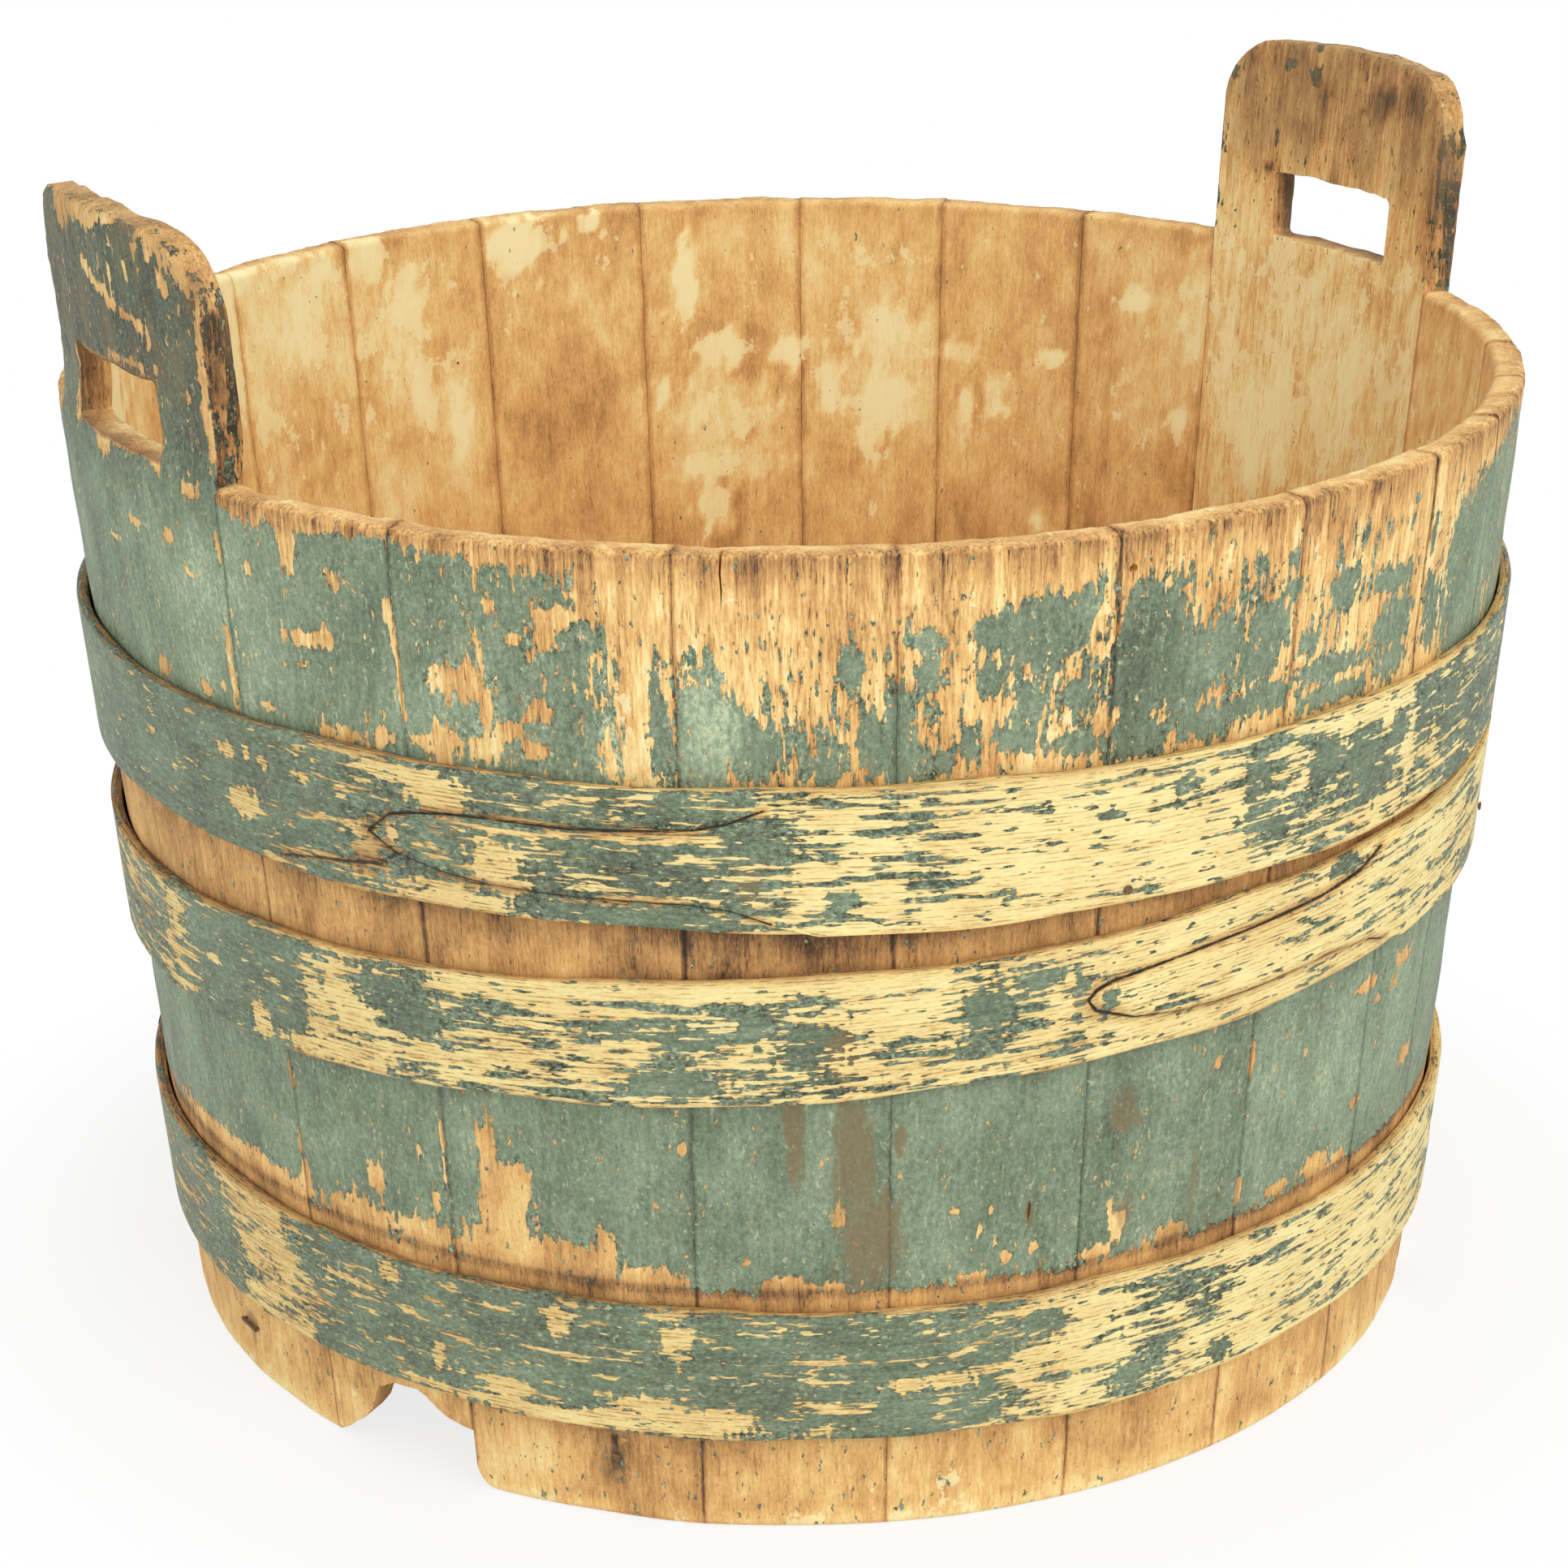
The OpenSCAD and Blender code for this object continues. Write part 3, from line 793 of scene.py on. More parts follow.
@dataclass(frozen=True)
class HoopStrip(Finish):
    """Split strip wood with paint left in streaks along it."""

    ring_step: float = 0.0017

    def build(self) -> bpy.types.Material:
        """Makes the material."""
        material, graph, shader = self.start()
        spread = graph.node("UVMap", uv_map="strip").outputs[0]
        turned = graph.node("SeparateXYZ")
        graph.feed(turned.inputs[0], spread)
        along = graph.node("CombineXYZ")
        graph.feed(along.inputs[0], turned.outputs[1])
        graph.feed(along.inputs[1], graph.times(graph.stored("stave"), PATTERN_SHIFT))
        graph.feed(along.inputs[2], turned.outputs[0])
        place = along.outputs[0]
        grain = graph.group(self.effects.grain, Vector=place, Streaks=0.3, Clouds=0.5)
        bend = graph.noise(graph.stretched(place, (1.0, 1.0, 0.03)), 90.0, 2.0, 0.5)
        per_metre = math.tau / self.ring_step
        phase = graph.math("MULTIPLY_ADD", turned.outputs[1], per_metre, graph.times(bend, 26.0))
        rings = graph.band(graph.math("SINE", phase), 0.35, 0.95)
        breaks = graph.noise(graph.stretched(place, (1.0, 1.0, 0.14)), 700.0, 2.0, 0.65)
        rings = graph.times(rings, graph.band(breaks, 0.46, 0.6))
        away = graph.math("ADD", graph.stored("seam"), graph.about(graph.noise(place, 260.0, 3.0, 0.6), 0.9))
        # Within about 4.5 mm of the tongue's seam the paint is thinner and the wood darker: dirt, with
        # painted shade beside the tongue.
        seam_shade_and_dirt = graph.band(away, 4.5, 0.6)
        cover = graph.math("SUBTRACT", graph.stored("cover"), graph.times(seam_shade_and_dirt, 0.35))
        film = graph.group(self.effects.flaking, Vector=graph.stretched(place, (1.0, 1.0, 0.5)), Cover=cover,
                           Streaks=2.6, Crumbs=5.6)
        paint = graph.group(self.effects.old_paint, Vector=place, Shade=graph.stored("shade"),
                            Stain=graph.stored("stain"), Cover=cover)
        # The strip's darkness: stored darkness, grain and rings, the seam's painted shade with dirt, and
        # round the paint's edges painted shade of the raised paint with dirt.
        age = graph.total(
            graph.stored("age"), grain.outputs["Tone"], graph.times(rings, 0.22),
            graph.times(grain.outputs["Lines"], 0.16), graph.times(seam_shade_and_dirt, 0.22),
            graph.times(film.outputs["Edge"], 0.12))
        wood = graph.ramp(age, STRIP_ROW)
        colour = graph.mix(film.outputs["Paint"], wood, paint.outputs["Color"])
        # Painted shadow: a dark line along the tongue's edges and its slit, where the strips meet.
        colour = graph.mix(graph.band(away, 0.75, 0.25), colour, tint(58, 46, 34))
        graph.feed(shader.inputs["Base Color"], colour)
        graph.feed(shader.inputs["Roughness"], graph.band(film.outputs["Paint"], 0.0, 1.0, 0.72, 0.6))
        height = graph.total(
            graph.times(film.outputs["Paint"], 0.4),
            graph.times(grain.outputs["Height"], 0.3), graph.times(rings, -0.3))
        self.relief(graph, shader, height, 0.0006)
        return material


@dataclass(frozen=True)
class BareWood(Finish):
    """Unpainted wood, with its grain along one axis."""

    turned: tuple[float, float, float] = (0.0, 0.0, 0.0)
    base_age: float = 0.5

    def build(self) -> bpy.types.Material:
        """Makes the material."""
        material, graph, shader = self.start()
        place = graph.node("Mapping")
        graph.feed(place.inputs["Vector"], graph.node("TexCoord").outputs["Object"])
        place.inputs["Rotation"].default_value = self.turned
        grain = graph.group(self.effects.grain, Vector=place.outputs[0], Streaks=0.5, Clouds=0.8)
        age = graph.total(
            grain.outputs["Tone"], graph.times(grain.outputs["Lines"], 0.12), self.base_age,
            graph.times(graph.stored("rim_darkening"), 0.4))
        graph.feed(shader.inputs["Base Color"], graph.ramp(age, WOOD_ROW))
        shader.inputs["Roughness"].default_value = 0.75
        self.relief(graph, shader, grain.outputs["Height"], 0.0005)
        return material


@dataclass(frozen=True)
class RustedIron(Finish):
    """Old iron under brown rust."""

    def build(self) -> bpy.types.Material:
        """Makes the material."""
        material, graph, shader = self.start()
        place = graph.node("TexCoord").outputs["Object"]
        crust = graph.noise(place, 900.0, 4.0, 0.65)
        graph.feed(shader.inputs["Base Color"], graph.ramp(crust, [
            (0.25, tint(60, 46, 34)), (0.5, tint(108, 82, 56)), (0.7, tint(150, 114, 78)),
            (0.9, tint(178, 148, 112))]))
        graph.feed(shader.inputs["Metallic"], graph.band(crust, 0.45, 0.3, 0.0, 0.6))
        graph.feed(shader.inputs["Roughness"], graph.band(crust, 0.3, 0.7, 0.5, 0.9))
        self.relief(graph, shader, crust, 0.0004)
        return material


# Staves


@dataclass
class Staves:
    """The twenty plain staves."""

    material: bpy.types.Material
    handle_w: float = 0.152
    front_widths: tuple[int, ...] = (92, 56, 64, 59, 77, 77, 77, 75, 102, 80)
    back_widths: tuple[int, ...] = (73, 73, 71, 80, 83, 78, 75, 75, 75, 75)
    row: float = 0.004
    column: float = 0.0033
    edge_round: float = 0.00045
    wall: Wall = WALL

    def joints(self, widths: Sequence[int], side: int) -> list[float]:
        """Directions of the joints on one side of the handles, from the right handle on.

        Args:
            widths: Widths of the staves.
            side: 1 anticlockwise and -1 clockwise.

        Returns:
            One direction more than there are staves.
        """
        start = self.wall.arc(self.handle_w) / 2
        places = np.concatenate([[0.0], np.cumsum(widths)]) / sum(widths)
        return [side * (start + (180.0 - 2 * start) * share) for share in places]

    def section(self, top: float, rounded: bool, rows: bool) -> bpy.types.Object:
        """Stands the wall's cross-section on X, with its rounds, its groove and level cuts.

        Args:
            top: Height of the stave.
            rounded: Whether the top corners are rounded here.
            rows: Whether it is cut into rows.

        Returns:
            The flat section.
        """
        wall = self.wall
        bpy.ops.object.select_all(action="DESELECT")
        bpy.ops.mesh.primitive_plane_add(
            size=1.0, location=(wall.foot_r - wall.thickness / 2, 0.0, top / 2),
            rotation=(math.pi / 2, 0.0, 0.0))
        piece = bpy.context.active_object
        piece.scale = (wall.thickness, top, 1.0)
        place_in_mesh(piece)
        middle_z = (wall.croze_low + wall.croze_high) / 2
        with editing(piece):
            pick(piece, Part.POINTS, lambda p: p.z > top / 2)
            bpy.ops.transform.translate(value=(wall.slope * top, 0.0, 0.0))
            if rounded:
                bpy.ops.mesh.bevel(offset=wall.rim_round, segments=4, affect="VERTICES")
            pick(piece, Part.POINTS, lambda p: p.z < MM and p.x > wall.foot_r - MM)
            bpy.ops.mesh.bevel(offset=wall.foot_round, segments=3, affect="VERTICES")
            pick(piece, Part.POINTS, lambda p: p.z < MM and p.x < wall.inner(0.0) + MM)
            bpy.ops.mesh.bevel(offset=wall.foot_bevel, segments=1, affect="VERTICES")
            cut((0.0, 0.0, wall.croze_low), (0.0, 0.0, 1.0))
            cut((0.0, 0.0, wall.croze_high), (0.0, 0.0, 1.0))
            pick(piece, Part.FACES, lambda p: wall.croze_low < p.z < wall.croze_high)
            bpy.ops.mesh.bisect(
                plane_co=(wall.inner(middle_z) + wall.croze_depth, 0.0, middle_z),
                plane_no=(1.0, 0.0, -wall.slope))
            pick(piece, Part.FACES, lambda p: wall.croze_low < p.z < wall.croze_high
                 and p.x < wall.inner(p.z) + wall.croze_depth)
            bpy.ops.mesh.delete(type="FACE")
            if rows:
                for z in np.arange(self.row, top - wall.rim_round - MM, self.row):
                    cut((0.0, 0.0, float(z)), (0.0, 0.0, 1.0))
        return piece

    def turned(self, section: bpy.types.Object, start: float, end: float, steps: int) -> bpy.types.Object:
        """Spins a copy of a section round the tub's axis.

        Args:
            section: The flat section on X.
            start: Direction of the joint where it starts.
            end: Direction of the joint where it ends.
            steps: Into how many columns it is divided.

        Returns:
            The closed stave.
        """
        piece = copy_of(section)
        with editing(piece):
            bpy.ops.mesh.select_all(action="SELECT")
            bpy.ops.mesh.spin(steps=steps, angle=-math.radians(end - start),
                              center=(0.0, 0.0, 0.0), axis=(0.0, 0.0, 1.0))
            bpy.ops.mesh.select_all(action="SELECT")
            bpy.ops.mesh.normals_make_consistent(inside=False)
        piece.rotation_euler.z = math.radians(start)
        place_in_mesh(piece)
        return piece

    def refine(self, piece: bpy.types.Object) -> None:
        """Divides the outer face more finely, for its wear."""
        with editing(piece):
            pick(piece, Part.FACES, lambda p: math.hypot(p.x, p.y) > self.wall.outer(p.z) - 0.4 * MM)
            bpy.ops.mesh.subdivide(number_cuts=1)

    def wear_down(self, piece: bpy.types.Object, drop: float, sink: float) -> None:
        """Wears a stave: an uneven outer face, and a rim a little lower and rounder than its neighbours'.

        Args:
            piece: The stave.
            drop: How much lower its rim is.
            sink: How much further in its rim stands.
        """
        place = read_points(piece)
        radius = np.hypot(place[:, 0], place[:, 1])
        high = ease(place[:, 2], self.wall.rim_z * 0.55, self.wall.rim_z)
        edge = ease(place[:, 2], self.wall.rim_z - 0.012, self.wall.rim_z - 0.002)
        outside = ease(self.wall.outer(place[:, 2]) - radius, 0.011, 0.004)
        inward = 0.0004 * (1.0 + ripple(place, 0.05, 1)) + 0.0003 * edge * (1.0 + ripple(place, 0.009, 2))
        inward = outside * (inward + high * sink)
        lower = high**4 * (drop + 0.0005 * (1.0 + ripple(place, 0.03, 3)))
        lower += 0.0003 * edge * (1.0 + ripple(place, 0.007, 4))
        place[:, 2] -= lower
        place[:, :2] *= (1.0 - inward / radius)[:, None]
        write_points(piece, place)

    def build(self) -> list[tuple[bpy.types.Object, str]]:
        """Makes all plain staves.

        Returns:
            Each stave with the name of its node.
        """
        section = self.section(self.wall.rim_z, True, True)
        made = []
        for side, word, widths in ((-1, "front", self.front_widths), (1, "back", self.back_widths)):
            joints = self.joints(widths, side)
            for number in range(1, len(widths) + 1):
                node = f"{word}_stave_{number:02d}"
                ends = sorted((joints[number - 1], joints[number]))
                steps = round(math.radians(ends[1] - ends[0]) * self.wall.rim_r / self.column)
                piece = self.turned(section, ends[0], ends[1], steps)
                self.break_foot(piece, node, joints)
                for crack in CRACKS:
                    if ends[0] < crack[0] < ends[1]:
                        carve(piece, punch(crack[3], crack[0], self.wall.outer(crack[1] * MM) + 0.002,
                                           crack[1] * MM, crack[2] * MM + 0.002))
                modify(piece, "BEVEL", width=self.edge_round, segments=2, limit_method="ANGLE",
                       angle_limit=math.radians(50.0))
                if side < 0:
                    self.refine(piece)
                seed = number + (20 if side > 0 else 0)
                self.wear_down(piece, 0.0006 * ((seed * 7) % 5) / 4, 0.0003 * ((seed * 3) % 4) / 3)
                StaveWear(seed).lay_on(piece)
                made.append((finish_mesh(piece, f"stave_{word}_{number:02d}", self.material), node))
        bpy.data.objects.remove(section)
        return made

    def break_foot(self, piece: bpy.types.Object, node: str, joints: Sequence[float]) -> None:
        """Breaks pieces off the feet of the three staves that have lost some.

        Args:
            piece: The stave.
            node: Name of its node.
            joints: The joints of its side.
        """
        reach = self.wall.rim_r - self.wall.foot_r + 2 * self.wall.thickness
        shapes = {
            "front_stave_10": ((9, BROKEN_FOOT, 1), (9, FOOT_CHIP, 1)),
            "front_stave_09": ((9, WORN_CORNER, -1),),
            "front_stave_03": ((2, LOST_CORNER, 1),),
        }
        for joint, outline, side in shapes.get(node, ()):
            depth = 0.0325 if outline is FOOT_CHIP else reach
            corners = [(-side * along, up) for along, up in outline]
            carve(piece, punch(corners, joints[joint], self.wall.rim_r, 0.0, depth))


BROKEN_FOOT = (
    (-1, -1), (-1, 25.7), (4, 26.2), (9, 27.4), (12, 28.2), (14.5, 29.8), (16.5, 31.2), (19, 33.0),
    (21, 34.8), (25, 36.6), (30, 36.2), (37, 35.6), (39.5, 34.0), (42, 32.4), (45, 31.0), (46.5, 27.5),
    (48, 23.5), (50, 19.0), (52.5, 15.8), (55.5, 12.2), (59, 9.8), (63, 6.0), (67, 3.2), (71, 1.5),
    (75, -1))
FOOT_CHIP = ((45, -1), (45, 9), (53, 14), (66, 24), (79, 35), (79, -1))
WORN_CORNER = ((-1, -1), (-1, 12)) + tuple(
    (12 - 12 * math.cos(a), 12 - 12 * math.sin(a)) for a in np.radians(range(0, 91, 9))) + ((12, -1),)
LOST_CORNER = ((-1, -1), (-1, 17), (5, 16.4), (9, 15.6), (12.5, 13), (16, 10.2), (18.4, 5), (20, -1))


# Where the wall is worn


# Cover of bare wood and of whole paint; between them paint breaks up, most at a half.
GONE = -0.2
SOLID = 1.25
# Heights of the edges of the bare band between the two painted parts, in millimetres.
BARE_LOW = 215.0
BARE_HIGH = 278.0
# Each mark: direction, height, half width and half height in millimetres, and its own value if it has one.
LOST_HIGH: tuple[Mark, ...] = (
    (-181.5, 388, 6, 5), (-172.5, 390, 3, 3), (-168, 384, 5, 2.5), (-176.8, 363, 5, 1.5),
    (-171.5, 363.5, 2.5, 2.5), (-181.5, 351, 4, 1.2), (-169.2, 352, 2.5, 1.5), (-162.3, 361, 2.5, 2.5),
    (-158, 374, 4, 11), (-157.5, 340, 9, 2.8), (-155.5, 342, 4, 4), (-157.7, 331, 3, 2),
    (-154, 366, 6, 5, 0.4), (-149.7, 357, 1.5, 6), (-149.3, 345, 1.2, 8), (-149.2, 328, 1, 8),
    (-165.4, 366, 1.2, 8), (-165.5, 330, 1.5, 8), (-165.5, 315, 2, 12), (-175.3, 309, 4.5, 4),
    (-169.2, 308, 4, 3), (-166.8, 312, 2, 2), (-161.8, 310, 3, 2), (-155, 307, 9, 3), (-151, 309, 5, 3),
    (-148, 311, 3, 2), (-146, 310, 5, 7), (-143, 312, 6, 5), (-144, 335, 9, 6), (-142.5, 325, 3, 8),
    (-146.5, 334, 3, 4), (-137, 362, 6, 4), (-138, 356, 4, 7), (-140, 353, 3, 2), (-139, 348, 2.5, 3),
    (-138.5, 327, 4, 4), (-141, 319, 4, 3), (-139, 312, 4, 3), (-135, 373, 3, 6), (-135, 366, 2, 3),
    (-131.6, 340, 5, 32), (-129, 378, 22, 12))
KEPT_HIGH: tuple[Mark, ...] = (
    (-122, 318, 25, 16, 0.5), (-130.3, 330, 2.5, 20), (-127.6, 350, 6, 20), (-127.3, 320, 8, 16),
    (-128.6, 365, 3, 6), (-117.2, 348, 4, 7), (-116.5, 372, 3, 2), (-124.8, 325, 3, 8), (-112.2, 356, 6, 4),
    (-112, 344, 4, 6), (-108.2, 357, 3, 6), (-106.4, 357, 5.5, 14), (-103.8, 357, 8, 18),
    (-101.3, 364.5, 5, 11), (-101.4, 331, 4.5, 8), (-105.2, 330, 6, 6), (-106, 317, 8, 5),
    (-107.8, 340, 4, 5), (-114, 322, 4.5, 17), (-113.8, 312, 8, 8), (-116, 320, 4, 10), (-119, 312, 5, 6),
    (-123.5, 317, 6, 8), (-109.2, 316, 3, 6), (-101.3, 312.5, 9, 4), (-110.9, 311, 2.5, 5),
    (-97, 370, 8, 6), (-93.9, 368, 5, 4), (-94.9, 354, 9, 10), (-97.3, 335, 8, 26), (-93.4, 333, 12, 14),
    (-90.4, 339, 8, 11), (-86, 344, 8, 8), (-87, 331, 8, 8), (-87.5, 370, 4, 5), (-84.5, 367, 3, 3),
    (-84.2, 355, 4, 3), (-91, 312, 12, 6), (-96.8, 310, 9, 5), (-86, 316, 13, 5), (-79, 320.5, 18, 3.5),
    (-78.6, 309.5, 16, 3.5), (-78.4, 349, 8, 7), (-82, 333, 4, 4), (-72.2, 329, 12, 8), (-72.8, 346, 12, 4),
    (-71.8, 313, 8, 6), (-73, 367, 8, 5, 0.6), (-77, 368, 6, 2.5), (-79, 381.5, 8, 1.5), (-71, 374, 4, 1.5),
    (-67, 331, 5, 10), (-66.5, 317, 4, 6), (-67.7, 356, 2, 8), (-61, 330, 18, 26), (-57, 350, 18, 24),
    (-113.4, 367, 1.2, 8), (-109.7, 369, 1.5, 5))
LOST_LOW: tuple[Mark, ...] = (
    (-176, 108, 55, 5), (-158.4, 108, 15, 8), (-156.3, 127, 4, 6), (-152, 109, 12, 6), (-150.6, 124, 2, 6),
    (-144, 110, 20, 12), (-144.3, 128, 9, 14), (-145.4, 146, 4, 16), (-143, 140, 5, 8), (-139.5, 113, 9, 5),
    (-138, 109, 6, 5), (-136.2, 113, 5, 10), (-136, 121, 3, 4), (-132.8, 107, 13, 5), (-129.7, 162, 2, 2),
    (-151.7, 144, 2, 2.5), (-165, 158, 1.5, 8), (-164.8, 112, 3, 8), (-165, 130, 1, 6),
    (-149.4, 147, 0.8, 18), (-118.1, 135, 2, 5), (-121.8, 107.5, 5, 3), (-118.3, 106, 4, 2),
    (-95.6, 117, 3, 6), (-96.4, 127, 1, 3), (-87.2, 174, 2, 3), (-109.2, 134, 1.5, 1.5),
    (-107.2, 125.5, 1.5, 2), (-83.6, 172, 1, 12), (-83.6, 115, 1.2, 9), (-69, 178, 9, 3),
    (-66.7, 168, 2.5, 2), (-63, 179, 7, 3), (-64, 170, 3, 3), (-69, 128, 4, 2.5), (-59, 130, 7, 4),
    (-90.5, 107, 7, 4), (-105, 112, 3, 2), (-102.8, 114, 2, 2), (-97.5, 107, 7, 3), (-79, 108, 7, 3),
    (-74, 110, 9, 5), (-72, 107, 10, 3), (-122, 106, 9, 3), (-107.7, 105.5, 7, 2))
STAINS: tuple[Mark, ...] = (
    (-117, 158, 7, 26), (-115.5, 125, 11, 20), (-113.5, 165, 2, 6), (-121.3, 165, 3, 20),
    (-121.5, 172, 4, 9), (-95, 122, 4, 10, 0.7), (-88.5, 125, 2.5, 14, 0.7), (-96, 169, 6, 8, 0.7),
    (-95.6, 160, 6, 4, 0.8), (-136.2, 24, 5, 11, 0.6), (-177.9, 25, 5, 3), (-177.9, 18, 2, 6, 0.7),
    (-103.2, 128.4, 2, 5, 0.9))
# Paler paint. The broad marks round -68 and -57 degrees on the right side and round -168 degrees at the
# upper left are painted light; the smaller ones are the old paint's whitish mottling and darker patches.
PALE: tuple[Mark, ...] = (
    (-168, 340, 36, 44, 0.72), (-187, 360, 16, 40, 0.5), (-145, 320, 26, 18, 0.72),
    (-127, 326, 9, 28, 0.78), (-133, 318, 8, 14, 0.74), (-68, 150, 60, 30, 0.7), (-105, 150, 14, 26, 0.5),
    (-96, 165, 12, 18, 0.48), (-157, 330, 14, 20, 0.54), (-97, 340, 22, 30, 0.4), (-57, 340, 30, 40, 0.6))
# Paler and darker wood inside. The three broad marks at the head of the list, at 115, 150 and 0 degrees, are
# painted light on the upper inside; the small ones are cream and dark patches of the wood.
CREAM: tuple[Mark, ...] = (
    (115, 345, 60, 50, 0.2), (150, 362, 30, 26, 0.0), (0, 330, 80, 46, 0.2), (121, 383, 12, 7, 0.02),
    (119, 385, 8, 5, 0.02), (113, 385, 7, 6, 0.04), (108, 380, 4, 6, 0.06), (112, 355, 10, 15, 0.1),
    (103, 380, 8, 12, 0.06), (99, 345, 10, 22, 0.12), (98, 310, 6, 14, 0.1), (94, 300, 6, 20, 0.12),
    (82, 300, 32, 40, 0.46), (86.5, 375, 12, 11, -0.15), (78.5, 381, 4, 5, -0.1), (69.5, 352, 5, 16, -0.1),
    (66, 318, 11, 8, 0.0), (65, 290, 22, 14, 0.14), (59, 316, 8, 7, -0.06), (55, 300, 5, 14, 0.02),
    (49.5, 325, 13, 10, 0.16), (49, 292, 10, 13, 0.0), (51, 276, 5, 12, 0.04), (42, 318, 10, 4, 0.1),
    (41, 290, 4, 12, 0.06), (38, 297, 5, 10, 0.08), (72, 299, 3, 5, -0.06), (32, 319, 5, 4, -0.1),
    (23, 350, 7, 4, -0.06), (17.5, 298, 4, 5, 0.0), (8, 305, 14, 20, 0.14), (3, 320, 10, 12, 0.16),
    (33, 240, 2, 6, 0.0), (66, 262, 22, 9, 0.16), (67, 240, 9, 10, 0.06))
COVER_HIGH: Stops = (
    (-200, 1.25), (-149, 1.25), (-147, 0.9), (-135, 0.9), (-133.5, 0.3), (-130.5, 0.3), (-129, 0.4),
    (-125, 0.36), (-123, 0.18), (-86, 0.18), (-84, 0.12), (-65, 0.12), (-63, 0.8), (-50, 0.8), (-46, 0.9),
    (0, 1.0), (90, 1.1), (150, 1.1))
BARE_RIM: Stops = (
    (-165, 5), (-163, 10), (-150, 6), (-145, 7), (-137, 12), (-133, 30), (-130, 45), (-120, 35), (-110, 25),
    (-100, 18), (-90, 20), (-60, 20), (-50, 10), (0, 7), (90, 8), (165, 6))
# How dark the wood is, from 0 to 1, at some heights in millimetres. Outside, the rise from 238 to 251 mm,
# just under the upper hoop, is painted shadow of the hoop.
DARKNESS_OUTSIDE: Stops = (
    (0, 0.24), (5, 0.3), (10, 0.4), (24, 0.42), (42, 0.48), (97, 0.56), (101, 0.58), (103, 0.8), (106, 0.5),
    (110, 0.4), (215, 0.5), (238, 0.54), (247, 0.66), (251, 0.7), (300, 0.36), (350, 0.34), (372, 0.38),
    (382, 0.52), (385, 0.6), (387, 0.46), (388, 0.32))
# Inside, the wood darkens towards the bottom as painted shade of the tub's inside.
DARKNESS_INSIDE: Stops = (
    (0, 0.5), (60, 0.5), (230, 0.45), (290, 0.36), (370, 0.33), (380, 0.38), (385, 0.44), (388, 0.3))
# Each crack: direction, height, depth and its outline, in millimetres along the wall and up.
CRACKS: tuple[tuple[float, float, float, tuple[tuple[float, float], ...]], ...] = (
    (-125.8, 367, 6, ((0, 0), (0.6, 8), (0.2, 14), (0.9, 22), (-0.2, 22), (-0.5, 14), (-0.1, 8))),
    (-81.3, 365, 5, ((0, 0), (0.5, 9), (0.8, 24), (0, 24), (-0.1, 9))),
    (-97.9, 374.5, 9, tuple((1.6 * math.cos(a), 1.6 * math.sin(a)) for a in np.radians(range(0, 360, 30)))),
    (-103.3, 126, 4, ((0, 0), (0.6, 2.5), (0.9, 6), (0.1, 8), (-0.4, 4))))


